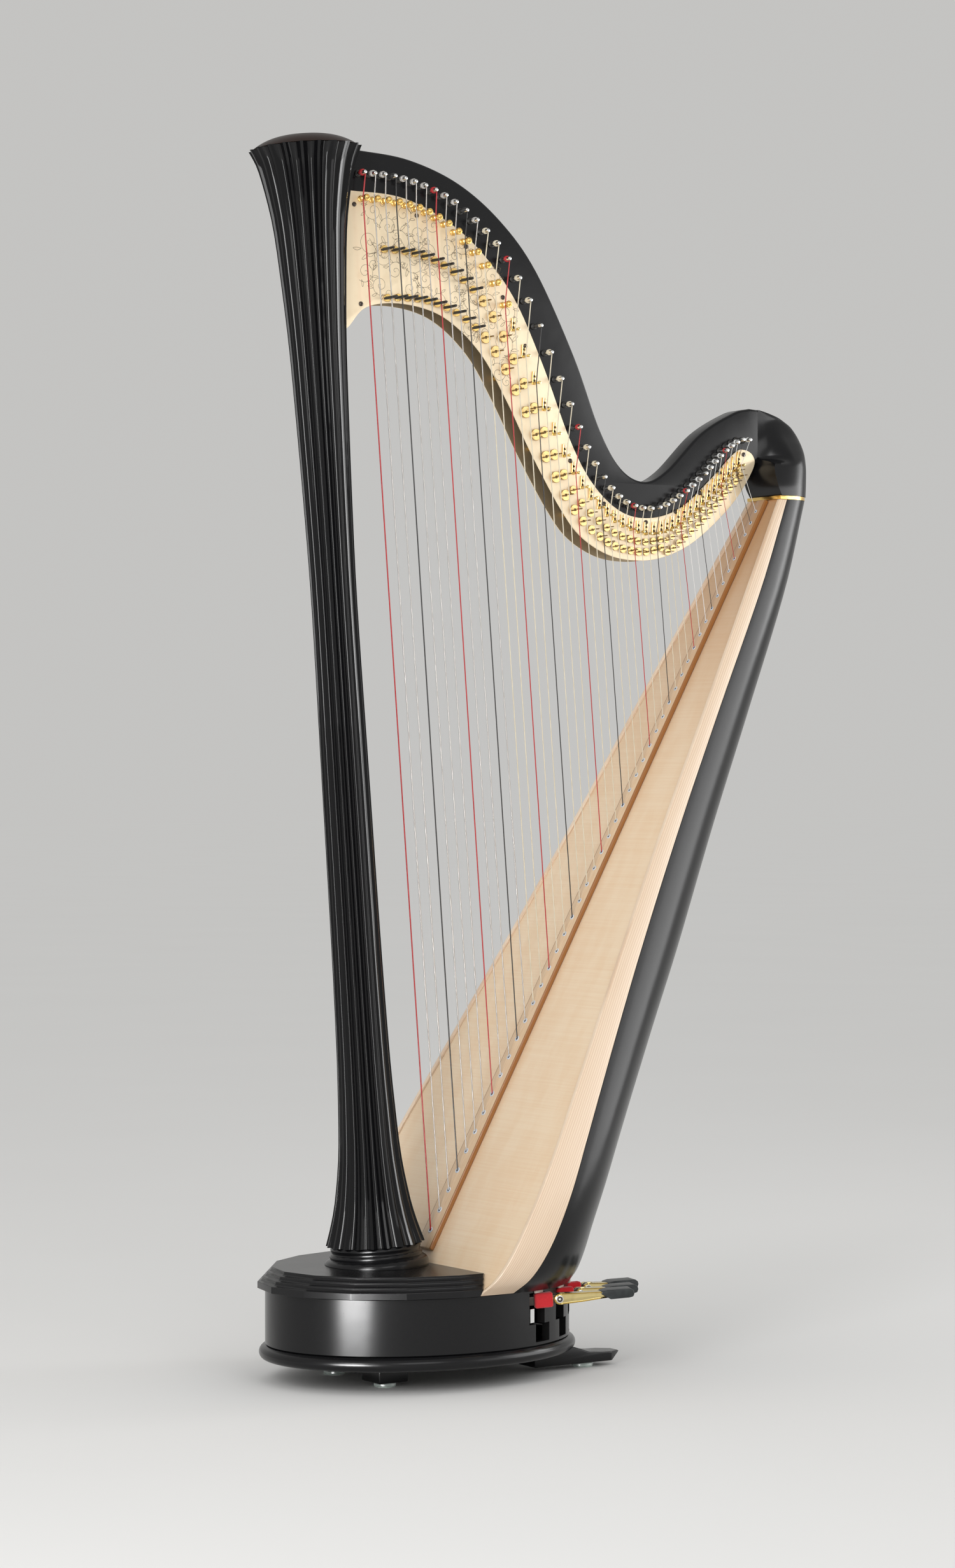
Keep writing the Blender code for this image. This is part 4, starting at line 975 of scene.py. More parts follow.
    def tuning(self, number: int) -> Vector:
        """Centre of a string's tuning pin."""
        return self._pin(self.tuning_keys, number)

    def string_radius(self, number: int) -> float:
        """Radius of a string."""
        return 0.0004 + 0.00065 * (number - 1) / (len(STRINGS) - 1)

    def string_top(self, number: int) -> Vector:
        """Where a string bears on its bridge pin."""
        clear = self.bridge_radius + self.string_radius(number)
        return self.bridge(number) - Vector((clear, 0.0, 0.0))

    def disc_point(self, number: int, sharp: bool) -> Vector:
        """Where a string's natural or sharp disc sits, in the plane of the strings."""
        top = self.string_top(number)
        run = self.string_hole(number) - top
        row = next(row for row in self.disc_rows if number <= row[0])
        offset, share = row[3:] if sharp else row[1:3]
        return top + run.normalized() * (offset + share * run.length)


# Base


@dataclass
class Base:
    """Oval drum, beaded board, stepped plinth and feet."""

    plan: HarpPlan
    sides: int = 144
    wall: float = 0.01
    board_top: float = 0.0552
    board_underside: float = 0.034
    bead_radius: float = 0.0097
    bead_height: float = 0.0436
    plinth_sides: int = 18
    overhang: float = 0.0125
    band: float = 0.01
    steps: int = 3
    rise: float = 0.007
    recess: float = 0.0072
    glide_radius: float = 0.0165
    glide_thickness: float = 0.0075
    front_foot: Row = (0.104, 0.072, 0.05)
    rear_foot: Row = (0.15, 0.316, 0.068, 0.046, 0.0135)
    rod_opening: float = 0.0182
    screws: int = 8
    screw_radius: float = 0.0042
    screw_ring: float = 0.89

    @property
    def half(self) -> float:
        """Half length of the drum."""
        return self.plan.drum_length / 2.0

    def _stand(self, obj: Piece) -> Piece:
        """Carry a form made round the origin to the base's centre."""
        return Bench.move(obj, Matrix.Translation((self.plan.base_x, 0.0, 0.0)))

    def build_drum(self, slots: Sequence[Piece]) -> None:
        """The oval drum with its seven stepped slots, their cut walls near-black as painted shade."""
        low = self.board_top + GAP
        soft = 0.0012
        outer = [
            (self.half - self.wall, low), (self.half - soft, low), (self.half, low + soft),
            (self.half, self.plan.drum_top - soft), (self.half - soft, self.plan.drum_top),
            (0.02, self.plan.drum_top)]
        drum = Bench.lathe("oval_drum", self.sides, outer, self.plan.squeeze)
        hollow = [(self.half - self.wall, low - 0.01), (self.half - self.wall, self.plan.drum_top - self.wall)]
        drum = Bench.carve(drum, Bench.lathe("drum_hollow", 96, hollow, self.plan.squeeze))
        self.plan.bore_rods(self._stand(drum), self.rod_opening)
        Bench.dress(drum, Paint.SATIN, "lacquer", "base_drum")
        # The slot walls take a near-black finish: painted shade inside the slots.
        for tool in slots:
            Bench.carve(drum, tool, Paint.SLOT)
        Bench.smooth(drum, 30.0)

    def build_board(self) -> None:
        """The bottom board with its round bead and the screws in its underside."""
        profile = [(self.half - 0.012, self.board_underside), (self.half - 0.002, self.board_underside)]
        for i in range(13):
            angle = radians(-78 + i * 13)
            profile.append((
                self.half + self.bead_radius * cos(angle),
                self.bead_height + self.bead_radius * sin(angle)))
        profile += [(self.half + 0.0012, self.board_top - 0.0016), (self.half, self.board_top - 0.001)]
        profile += [(self.half - 0.004, self.board_top), (self.half - 0.02, self.board_top)]
        board = self._stand(Bench.lathe("beaded_board", self.sides, profile, self.plan.squeeze))
        Bench.finish(board, 40.0, Paint.SATIN, "lacquer", "base_board")
        head = Bench.add(
            "board_screw", bpy.ops.mesh.primitive_uv_sphere_add, segments=14, ring_count=8,
            radius=self.screw_radius)
        head.scale = (1.0, 1.0, 0.55)
        Bench.settle(head)
        places = []
        for i in range(self.screws):
            angle = 2 * pi * (i + 0.5) / self.screws
            x = self.plan.base_x + self.half * self.screw_ring * cos(angle)
            y = self.plan.drum_width / 2 * self.screw_ring * sin(angle)
            places.append(Matrix.Translation((x, y, self.board_underside - 0.0005)))
        Bench.finish(Bench.scatter(head, places, "board_screws"), 35.0, Paint.STEEL, "steel")

    def build_plinth(self) -> None:
        """The eighteen-sided plinth with three coves, cut off along the soundboard."""
        edge = self.half + self.overhang
        bottom = self.plan.drum_top + GAP
        profile = [(edge, bottom), (edge, bottom + self.band)]
        for i in range(self.steps):
            start = edge - i * self.recess
            height = bottom + self.band + i * self.rise
            profile.append((start - 0.0016, height + 0.0002))
            for k in range(1, 7):
                t = k / 6.0
                hollow = 0.0022 * sin(pi * t)
                reach = start - 0.0016 - (self.recess - 0.0016) * t ** 0.55 - hollow * (1.0 - 0.35 * t)
                profile.append((reach, height + 0.0002 + (self.rise - 0.0002) * t))
        profile.append((0.03, profile[-1][1]))
        plinth = Bench.lathe("stepped_plinth", self.plinth_sides, profile, 1.0)
        with Bench.editing(plinth):
            bpy.ops.transform.rotate(
                value=pi / self.plinth_sides, orient_axis="Z", center_override=(0.0, 0.0, 0.0))
            Bench.resize(1.0, self.plan.squeeze)
        self._stand(plinth)
        self.plan.clear_board(plinth, 0.0033)
        Bench.bevel(self.plan.bore_rods(plinth, self.rod_opening), 0.0006, 2, 20.0)
        Bench.finish(plinth, 12.0, Paint.SATIN, "lacquer", "plinth")

    def _glide(self, name: str, x: float, y: float, node: str) -> None:
        """One round floor glide with soft edges and a hollow in its middle."""
        radius = self.glide_radius
        top = self.glide_thickness
        profile = [
            (0.004, 0.0012), (radius * 0.62, 0.001), (radius * 0.7, 0.0), (radius * 0.88, 0.0),
            (radius, 0.0022), (radius, top - 0.0012), (radius * 0.94, top), (0.004, top)]
        glide = Bench.move(Bench.lathe(name, 36, profile), Matrix.Translation((x, y, 0.0)))
        Bench.finish(glide, 40.0, Paint.GLIDE, "glide", node)

    def build_feet(self) -> None:
        """Two block feet in front, two long pointed feet behind, and their glides."""
        low = self.glide_thickness + GAP
        top = self.board_underside - GAP
        for side, word in ((-1, "left"), (1, "right")):
            back, across, size = self.front_foot
            x = self.plan.base_x - back
            foot = Bench.block(
                "front_block_" + word, (x - size / 2, side * across - size / 2, low),
                (x + size / 2, side * across + size / 2, top))
            Bench.finish(Bench.bevel(foot, 0.002, 3), 35.0, Paint.SATIN, "lacquer", "front_foot_" + word)
            self._glide("front_pad_" + word, x, side * across, "front_glide_" + word)
            self._rear_foot(side, word, low, top)

    def _rear_foot(self, side: int, word: str, low: float, top: float) -> None:
        """One long rear foot, from under the drum to its bevelled point."""
        root, tip, across, width, height = self.rear_foot
        root += self.plan.base_x
        tip += self.plan.base_x
        edge = self.plan.base_x + self.half
        tip_top = low + height
        outline = [
            (root, low), (tip - 0.022, low), (tip, tip_top - 0.0022), (tip - 0.006, tip_top),
            (edge + 0.03, tip_top + 0.0008), (edge + 0.008, tip_top + 0.003), (edge - 0.02, top), (root, top)]
        foot = Bench.slab(
            "rear_long_foot_" + word, outline, -side * across - width / 2, -side * across + width / 2, 0.0, UPRIGHT)
        for sign in (-1, 1):
            tool = Bench.block("foot_tool", (-0.1, -0.05, -0.05), (0.1, 0.05, 0.05))
            corner = Matrix.Translation((tip, side * across, 0.02))
            corner = corner @ Matrix.Rotation(-sign * radians(32), 4, "Z")
            Bench.carve(foot, Bench.move(tool, corner @ Matrix.Translation((0.0, sign * 0.056, 0.0))))
        Bench.finish(Bench.bevel(foot, 0.0018, 3, 20.0), 35.0, Paint.SATIN, "lacquer", "rear_foot_" + word)
        self._glide("rear_pad_" + word, tip - 0.064, side * across, "rear_glide_" + word)


# Column


@dataclass
class Column:
    """Fluted column, the turned rings under it and the low dome on top."""

    plan: HarpPlan
    rows: int = 56
    flutes: int = 20
    points: int = 12
    fillet: float = 0.2
    depth: float = 0.115
    bore: float = 0.019
    rod_opening: float = 0.0165
    plinth_height: float = 0.031
    dome_radius: float = 0.0795
    dome_rise: float = 0.0197
    profile: tuple[Row, ...] = (
        (0.0, 0.074), (0.03, 0.0647), (0.063, 0.0568), (0.128, 0.0474), (0.204, 0.0427),
        (0.28, 0.0398), (0.432, 0.0374), (0.7, 0.0357), (0.964, 0.0343), (1.116, 0.0367),
        (1.268, 0.0407), (1.344, 0.0433), (1.42, 0.0478), (1.512, 0.0549), (1.56, 0.0625),
        (1.604, 0.0724), (1.618, 0.0778), (1.6313, 0.0843),
    )
    rings: tuple[Point2, ...] = (
        (0.076, -0.06), (0.0777, -0.033), (0.0777, -0.0285), (0.0772, -0.0258), (0.0755, -0.0232),
        (0.0728, -0.0212), (0.0694, -0.0203), (0.0686, -0.0196), (0.069, -0.0178), (0.0693, -0.016),
        (0.0688, -0.014), (0.0676, -0.0125), (0.0664, -0.0118), (0.066, -0.0104), (0.0666, -0.008),
        (0.0677, -0.0056), (0.0676, -0.0036), (0.0664, -0.0018), (0.065, -0.0005),
    )

    def _heights(self) -> list[float]:
        """Heights of the rings, closer where the column flares."""
        top = self.profile[-1][0]
        return [top * 0.5 * (1.0 - cos(pi * i / self.rows)) for i in range(self.rows + 1)]

    def _scallop(self, obj: Piece) -> None:
        """Press the flutes into the starting ring, one line of all the flutes at a time."""
        total = self.flutes * self.points
        first = int(round(self.fillet * self.points))
        for k in range(first + 1, self.points):
            t = (k - first) / (self.points - first)
            inward = 1.0 - self.depth * sin(pi * t) ** 0.75
            Bench.select(obj, "vertices", lambda vertex, k=k: round(
                atan2(vertex.co.y, vertex.co.x) / (2 * pi) * total) % self.points == k)
            Bench.resize(inward, inward)

    def build_shaft(self) -> None:
        """The fluted shaft, drawn out of one scalloped ring."""
        rings = []
        for height in self._heights():
            radius = read_curve(self.profile, height)[0]
            rings.append((Vector((0.0, 0.0, height)), radius, radius))
        shaft = Bench.add(
            "fluted_shaft", bpy.ops.mesh.primitive_circle_add, vertices=self.flutes * self.points,
            radius=1.0, fill_type="NGON")
        with Bench.editing(shaft):
            self._scallop(shaft)
            bpy.ops.mesh.select_all(action="SELECT")
            Bench.resize(rings[0][1], rings[0][1])
            Bench.grow(rings)
        Bench.close(shaft)
        Bench.carve(shaft, Bench.rod("bore_tool", (0, 0, -0.02), rings[-1][0] + 0.02 * UP, self.bore, 32))
        Bench.move(shaft, self.plan.column_frame())
        Bench.finish(shaft, 40.0, Paint.GLOSS, "lacquer", "column")

    def build_foot(self) -> None:
        """The turned rings between the flutes and the plinth, cut level on the plinth."""
        foot = Bench.move(Bench.lathe("turned_foot", 96, self.rings), self.plan.column_frame())
        level = self.plan.drum_top + GAP + self.plinth_height + GAP
        Bench.carve(foot, Bench.block("level_tool", (-0.6, -0.2, level - 0.1), (0.2, 0.2, level)))
        self.plan.clear_board(foot, 0.009)
        self.plan.bore_rods(foot, self.rod_opening)
        Bench.finish(foot, 40.0, Paint.SATIN, "lacquer", "column_foot")

    def build_dome(self) -> None:
        """The low brown-black dome inside the rim."""
        rim = self.profile[-1][0] + GAP
        profile = [(self.dome_radius, rim)]
        for i in range(1, 15):
            share = cos(pi / 2 * i / 15)
            profile.append((self.dome_radius * share, rim + self.dome_rise * (1.0 - share ** 3)))
        dome = Bench.move(Bench.lathe("crown_dome", 96, profile), self.plan.column_frame())
        Bench.finish(dome, 50.0, Paint.CROWN, "cap_wood", "crown_cap")


# Body


@dataclass
class SoundBox:
    """Bent sides, black shell, centre strip, joint band and shoulder block."""

    plan: HarpPlan
    rows: int = 64
    rim: float = 0.008
    rim_rise: float = 0.003
    wall: float = 0.006
    strip_low: float = 0.029
    strip_high: float = 0.022
    strip_half: Point2 = (0.02, 0.012)
    band_thickness: float = 0.0054
    band_overhang: float = 0.0006
    eyelet: Point2 = (0.0028, 0.0011)
    sound_holes: tuple[Row, ...] = (
        (0.33, 0.062, 0.052), (0.53, 0.056, 0.046), (0.72, 0.05, 0.04), (0.9, 0.044, 0.033),
        (1.065, 0.038, 0.026),
    )
    shoulder: tuple[Row, ...] = (
        (1.3443, 0.6545, 0.7275, -0.043, 0.043), (1.36, 0.648, 0.7283, -0.042, 0.046),
        (1.385, 0.646, 0.7308, -0.035, 0.051), (1.399, 0.6513, 0.7313, -0.029, 0.0523),
        (1.415, 0.6513, 0.7331, -0.018, 0.0523), (1.43, 0.6513, 0.7325, -0.006, 0.0523),
        (1.445, 0.6513, 0.7311, 0.006, 0.0523), (1.46, 0.6513, 0.7228, 0.014, 0.0523),
        (1.468, 0.6513, 0.7111, 0.0163, 0.0523), (1.474, 0.6513, 0.6988, 0.0163, 0.0523),
        (1.479, 0.6513, 0.6819, 0.0163, 0.0523), (1.482, 0.6513, 0.6682, 0.0163, 0.0523),
        (1.4835, 0.6513, 0.6576, 0.0163, 0.0523),
    )
    joint: tuple[float, float, float] = (1.396, 1.406, 0.042)
    full_rise: float = 0.0857

    def _heights(self) -> list[float]:
        """Heights of the rows, closer towards the round bottom."""
        low = self.plan.stations[0][0]
        span = self.plan.body_top - low
        return [low + span * (i / self.rows) ** 1.7 for i in range(self.rows + 1)]

    def dress_board(self, board: Piece) -> None:
        """Give the flat soundboard its wood."""
        Bench.coat(board, Paint.BOARD)
        LOG.info("soundboard: kept from the CAD model")

    def build_sides(self) -> None:
        """The two pale bent sides with their raised rims."""
        for side, word in ((-1, "left"), (1, "right")):
            rings = []
            for height in self._heights():
                width, band, _ = self.plan.station(height)
                front = self.plan.face_x(height) - self.rim_rise * 1.1439
                back = self.plan.face_x(height) + band
                centre = Vector(((front + back) / 2, side * (width - self.rim / 2), height))
                rings.append((centre, (back - front) / 2, self.rim / 2))
            band_piece = Bench.draw_out("bent_side_" + word, 4, rings)
            Bench.bevel(band_piece, 0.0014, 3, 50.0)
            Bench.finish(band_piece, 40.0, Paint.SIDE, "maple", "side_band_" + word)

    def build_shell(self) -> None:
        """The tapered half-round shell with its five sound holes."""
        rings = []
        for height in self._heights():
            width, band, depth = self.plan.station(height)
            centre = Vector((self.plan.face_x(height) + band + GAP, 0.0, height))
            rings.append((centre, depth, width))
        shell = Bench.draw_out("black_shell", 96, rings, open_arc=True)
        with Bench.editing(shell):
            bpy.ops.mesh.normals_make_consistent(inside=False)
        outward = shell.data.polygons[len(shell.data.polygons) // 2]
        if outward.normal.x < 0.0:
            with Bench.editing(shell):
                bpy.ops.mesh.flip_normals()
        Bench.modify(shell, "SOLIDIFY", thickness=self.wall, offset=-1.0, use_even_offset=False)
        for height, half_height, half_width in self.sound_holes:
            width, band, depth = self.plan.station(height)
            back = self.plan.face_x(height) + band + depth
            tool = Bench.settle(Bench.add(
                "hole_tool", bpy.ops.mesh.primitive_cylinder_add, vertices=48, radius=1.0, depth=0.15,
                rotation=(0.0, pi / 2, 0.0)))
            place = Matrix.Translation((back, 0.0, height)) @ Matrix.Diagonal((1.0, half_width, half_height, 1.0))
            Bench.carve(shell, Bench.move(tool, place))
        Bench.bevel(shell, 0.001, 2, 60.0)
        Bench.finish(shell, 40.0, Paint.SATIN, "lacquer", "soundbox_shell")

    def build_strip(self) -> None:
        """The raised strip that the strings pass, with its eyelets and a dark plug of painted shade in each."""
        frame = self.plan.face_frame()
        low = self.plan.hole_distance(STRINGS[-1]) - self.strip_low
        high = self.plan.first_hole + self.strip_high
        wide, narrow = self.strip_half
        outline = [(-wide, low), (wide, low), (narrow, high), (-narrow, high)]
        strip = Bench.slab("centre_strip", outline, GAP, self.plan.strip_height, 0.0, frame)
        Bench.finish(Bench.bevel(strip, 0.002, 3, 50.0), 35.0, Paint.STRIP, "spruce", "strings")
        ring = Bench.add(
            "eyelet", bpy.ops.mesh.primitive_torus_add, major_segments=18, minor_segments=8,
            major_radius=self.eyelet[0], minor_radius=self.eyelet[1])
        ring.scale = (1.0, 1.0, 0.7)
        Bench.settle(ring)
        places = []
        for number in STRINGS:
            share = 0.8 + 0.45 * number / len(STRINGS)
            spot = Vector((0.0, self.plan.hole_distance(number), self.plan.strip_height + 0.0001))
            places.append(frame @ Matrix.Translation(spot) @ Matrix.Scale(share, 4))
        Bench.finish(Bench.scatter(ring, places, "string_eyelets"), 60.0, Paint.EYELET, "glide")
        # A near-black plug in each eyelet is painted shade in the string hole.
        hole = Bench.lathe("hole_plug", 14, [(0.0018, -0.001), (0.0022, 0.0003), (0.0016, 0.0005)])
        Bench.finish(Bench.scatter(hole, places, "string_holes"), 60.0, Paint.HOLE, "rubber")

    def build_band(self) -> None:
        """The polished metal band under the shoulder."""
        width, band, depth = self.plan.station(self.plan.body_top)
        reach = self.band_overhang
        front = self.plan.face_x(self.plan.body_top) - self.rim_rise
        outline = [(front, -width - reach)]
        for i in range(41):
            angle = -pi / 2 + pi * i / 40
            x = self.plan.face_x(self.plan.body_top) + band + (depth + reach) * cos(angle)
            outline.append((x, (width + reach) * sin(angle)))
        outline.append((front, width + reach))
        low = self.plan.body_top + GAP
        piece = Bench.slab("joint_band", outline, low, low + self.band_thickness, 0.0)
        Bench.finish(Bench.bevel(piece, 0.0012, 3, 50.0), 40.0, Paint.GOLD, "brass", "shoulder_band")

    def build_shoulder(self) -> None:
        """The carved block that joins the neck to the body, moulded from one grid."""
        columns = 72
        rows = 56
        low = self.shoulder[0][0]
        high = self.shoulder[-1][0]
        block = Bench.add(
            "shoulder_block", bpy.ops.mesh.primitive_grid_add, x_subdivisions=columns, y_subdivisions=rows,
            size=2.0)
        for vertex in block.data.vertices:
            u = (vertex.co.x + 1.0) / 2.0
            v = 1.0 - ((1.0 - vertex.co.y) / 2.0) ** 1.7
            vertex.co = self._shoulder_point(u, low + (high - low) * v)
        with Bench.editing(block):
            bpy.ops.mesh.remove_doubles(threshold=0.00002)
            bpy.ops.mesh.select_all(action="DESELECT")
            bpy.ops.mesh.select_non_manifold()
            bpy.ops.mesh.fill_holes(sides=0)
        Bench.close(block)
        Bench.finish(block, 46.0, Paint.SATIN, "lacquer", "shoulder")

    def _shoulder_point(self, turn: float, height: float) -> Vector:
        """A point of the shoulder's section: round the back for 0 to 0.8, then along its flat front."""
        front, back, left, right = read_curve(self.shoulder, height)
        middle = (left + right) / 2
        half = (right - left) / 2
        level = min(max((height - self.joint[0]) / (self.joint[1] - self.joint[0]), 0.0), 1.0)
        corner = left + (self.plan.neck_left - left) * level
        if turn > 0.8:
            share = (turn - 0.8) / 0.2
            return Vector((self.plan.base_x + front, right + (corner - right) * share, height))
        angle = -pi / 2 + pi * turn / 0.8
        full = min(max((height - self.shoulder[0][0]) / self.full_rise, 0.0), 1.0)
        reach = (back - front) * max(cos(angle), 0.0) ** (0.9 - 0.28 * full)
        across = middle + half * copysign(abs(sin(angle)) ** (1.0 - 0.62 * full), sin(angle))
        if angle < 0.0:
            fade = min(reach / self.joint[2], 1.0)
            across += (corner - left) * (1.0 - fade * fade * (3.0 - 2.0 * fade))
        return Vector((self.plan.base_x + front + reach, min(across, right), height))


# Neck


@dataclass
class Neck:
    """Curved neck, its two action plates and the screws and lines on them."""

    plan: HarpPlan
    split: float = 0.651
    overlap: float = 0.0045
    scroll_columns: int = 10
    scroll_start: float = -0.078
    scroll_pitch: float = 0.0265
    scroll_line: float = 0.00026
    upper: tuple[Point2, ...] = (
        (-0.16, 1.834), (-0.089, 1.833), (-0.004, 1.826), (0.083, 1.798), (0.16, 1.747),
        (0.2255, 1.675), (0.296, 1.549), (0.345, 1.437), (0.385, 1.379), (0.429, 1.36),
        (0.473, 1.379), (0.54, 1.441), (0.604, 1.4765), (0.636, 1.4848),
    )
    lower: tuple[Point2, ...] = (
        (0.616, 1.385), (0.567, 1.34), (0.507, 1.295), (0.437, 1.271), (0.371, 1.279),
        (0.306, 1.324), (0.262, 1.39), (0.212, 1.488), (0.15, 1.59), (0.1, 1.64),
        (0.035, 1.675), (-0.021, 1.69), (-0.16, 1.69),
    )
    plate_upper: tuple[Point2, ...] = (
        (-0.16, 1.771), (-0.108, 1.771), (-0.0257, 1.7685), (0.047, 1.745), (0.1142, 1.7033),
        (0.1795, 1.6337), (0.2335, 1.535), (0.2859, 1.4186), (0.3287, 1.3526), (0.3812, 1.3117),
        (0.4373, 1.3031), (0.4971, 1.3212), (0.5544, 1.3671), (0.6026, 1.4117), (0.622, 1.4185),
        (0.64, 1.41),
    )
    plate_lower: tuple[Point2, ...] = (
        (0.641, 1.39), (0.6089, 1.3422), (0.564, 1.299), (0.516, 1.2642), (0.4685, 1.244),
        (0.4217, 1.2358), (0.3627, 1.2416), (0.3074, 1.2688), (0.2677, 1.3125), (0.2149, 1.3928),
        (0.1688, 1.4726), (0.1201, 1.5432), (0.0556, 1.5922), (-0.0169, 1.6081), (-0.0828, 1.5989),
        (-0.119, 1.5639), (-0.16, 1.55),
    )
    spacers: tuple[Point2, ...] = (
        (-0.09, 1.64), (0.01, 1.635), (0.096, 1.598), (0.172, 1.51), (0.236, 1.405),
        (0.3, 1.305), (0.372, 1.262), (0.448, 1.256), (0.524, 1.292), (0.592, 1.352),
    )
    plate_screws: tuple[Point2, ...] = (
        (-0.1046, 1.7509), (-0.0929, 1.6032), (0.0054, 1.7426), (0.094, 1.7025), (0.1611, 1.63),
        (0.2026, 1.5581), (0.245, 1.464), (0.286, 1.386), (0.35, 1.322), (0.43, 1.296),
        (0.4873, 1.315), (0.5342, 1.3463), (0.5725, 1.3798), (0.6213, 1.4108),
    )

    def _world(self, points: Sequence[Point2]) -> list[Point2]:
        """Outline points with X in the harp's frame, on a smooth curve."""
        return [(self.plan.base_x + x, z) for x, z in smooth_through(points, 8)]

    def build_beam(self) -> None:
        """The laminated neck with rounded edges."""
        end = self.plan.base_x + self.split + self.overlap
        outline = self._world(self.upper) + [(end, 1.4835), (end, 1.399)] + self._world(self.lower)
        beam = Bench.slab("curved_neck", outline, -self.plan.neck_right, -self.plan.neck_left, 0.0038, UPRIGHT)
        Bench.finish(beam, 40.0, Paint.SATIN, "lacquer", "neck")

    def build_plates(self) -> None:
        """The left and right action plate, with the spacers between them; the right plate's inner face gets a
        darker brass as painted shade.
        """
        outline = self._world(self.plate_upper + self.plate_lower)
        thickness = self.plan.plate_thickness
        faces = {"left": self.plan.plate_face, "right": self.plan.neck_right + GAP}
        for word, face in faces.items():
            plate = Bench.slab(word + "_plate", outline, -face - thickness, -face, 0.0006, UPRIGHT)
            Bench.finish(plate, 40.0, Paint.PLATE, "plate", word + "_action_plate")
        # The right plate's inner face takes the darker brass: painted shade between the plates.
        plate.data.materials.append(Paint.PLATE_INNER.material())
        for polygon in plate.data.polygons:
            polygon.material_index = 1 if polygon.normal.y < -0.5 else 0
        posts = []
        for x, z in self.spacers:
            x += self.plan.base_x
            posts.append(Bench.rod(
                "spacer", (x, self.plan.neck_left, z), (x, faces["right"] + 0.001, z), 0.004, 16))
        Bench.finish(Bench.join(posts, "plate_spacers"), 40.0, Paint.GOLD, "brass")
        self._build_screws(faces["left"], faces["right"] + thickness)

    def _build_screws(self, left_face: float, right_face: float) -> None:
        """Round dark screw heads with a slot, on both plates."""
        profile = [(0.0036, 0.0), (0.0036, 0.0008), (0.003, 0.0017), (0.0018, 0.0023), (0.0006, 0.0025)]
        head = Bench.lathe("plate_screw", 20, profile)
        Bench.carve(head, Bench.block("slot_tool", (-0.0045, -0.0004, 0.0013), (0.0045, 0.0004, 0.004)))
        places = []
        for index, (x, z) in enumerate(self.plate_screws):
            for face, turn in ((left_face, pi / 2), (right_face, -pi / 2)):
                place = Matrix.Translation((self.plan.base_x + x, face, z)) @ Matrix.Rotation(turn, 4, "X")
                places.append(place @ Matrix.Rotation(index * 1.1, 4, "Z"))
        Bench.finish(Bench.scatter(head, places, "plate_screws"), 40.0, Paint.DARK_SCREW, "steel")

    def _plate_edges(self, x: float) -> Point2:
        """Height of the plate's lower and upper edge at an X from the base's centre."""
        upper = read_curve(self.plate_upper[1:-1], x)[0]
        return read_curve(self.plate_lower[-2:0:-1], x)[0], upper

    def build_scrolls(self) -> None:
        """Engraved-looking scrollwork in the wide end of the left plate."""
        runs = []
        stem = []
        for i in range(self.scroll_columns):
            x = self.scroll_start + self.scroll_pitch * i
            lower, upper = self._plate_edges(x)
            middle = Vector((x, lower + (upper - lower) * (0.5 + 0.07 * (-1) ** i)))
            stem.append(tuple(middle + Vector((0.0, 0.004 * (-1) ** i))))
            for row in (-1, 0, 1):
                hand = 1 if (i + row) % 2 else -1
                size = (upper - lower) * (0.095 if row else 0.125)
                centre = middle + Vector((0.007 * row, row * (upper - lower) * 0.27))
                start = radians(70.0 * i + 130.0 * row)
                runs.append(self._spiral(centre, size, start, hand, 1.75))
                runs.append(self._spiral(
                    centre + Vector((size * 0.9, hand * size * 0.75)), size * 0.45, start, -hand, 1.3))
                for k in range(4):
                    angle = start + hand * (0.5 + k * 0.75)
                    tip = centre + size * 1.45 * Vector((cos(angle), sin(angle)))
                    angle -= 0.3 * hand
                    root = centre + size * 0.86 * Vector((cos(angle), sin(angle)))
                    side = (tip - root).orthogonal() * 0.22
                    leaf = [root, (root + tip) / 2 + side, tip, (root + tip) / 2 - side * 0.4, root]
                    runs.append(smooth_through([tuple(p) for p in leaf], 4))
        runs.append(smooth_through(stem, 8))
        face = self.plan.plate_face - 0.00002
        wires = [([(self.plan.base_x + x, face, z) for x, z in run], self.scroll_line) for run in runs]
        Bench.finish(Bench.wires("plate_scrolls", wires, 0), 60.0, Paint.ENGRAVING, "plate")

    @staticmethod
    def _spiral(centre: Vector, size: float, start: float, hand: int, turns: float) -> list[Point2]:
        """A scroll that winds in towards its centre."""
        points = []
        steps = int(26 * turns)
        for i in range(steps + 1):
            t = i / steps
            radius = size * (1.0 - t) ** 1.15 + 0.0006
            angle = start + hand * 2 * pi * turns * t
            points.append((centre.x + radius * cos(angle), centre.y + radius * sin(angle)))
        return points


# Action


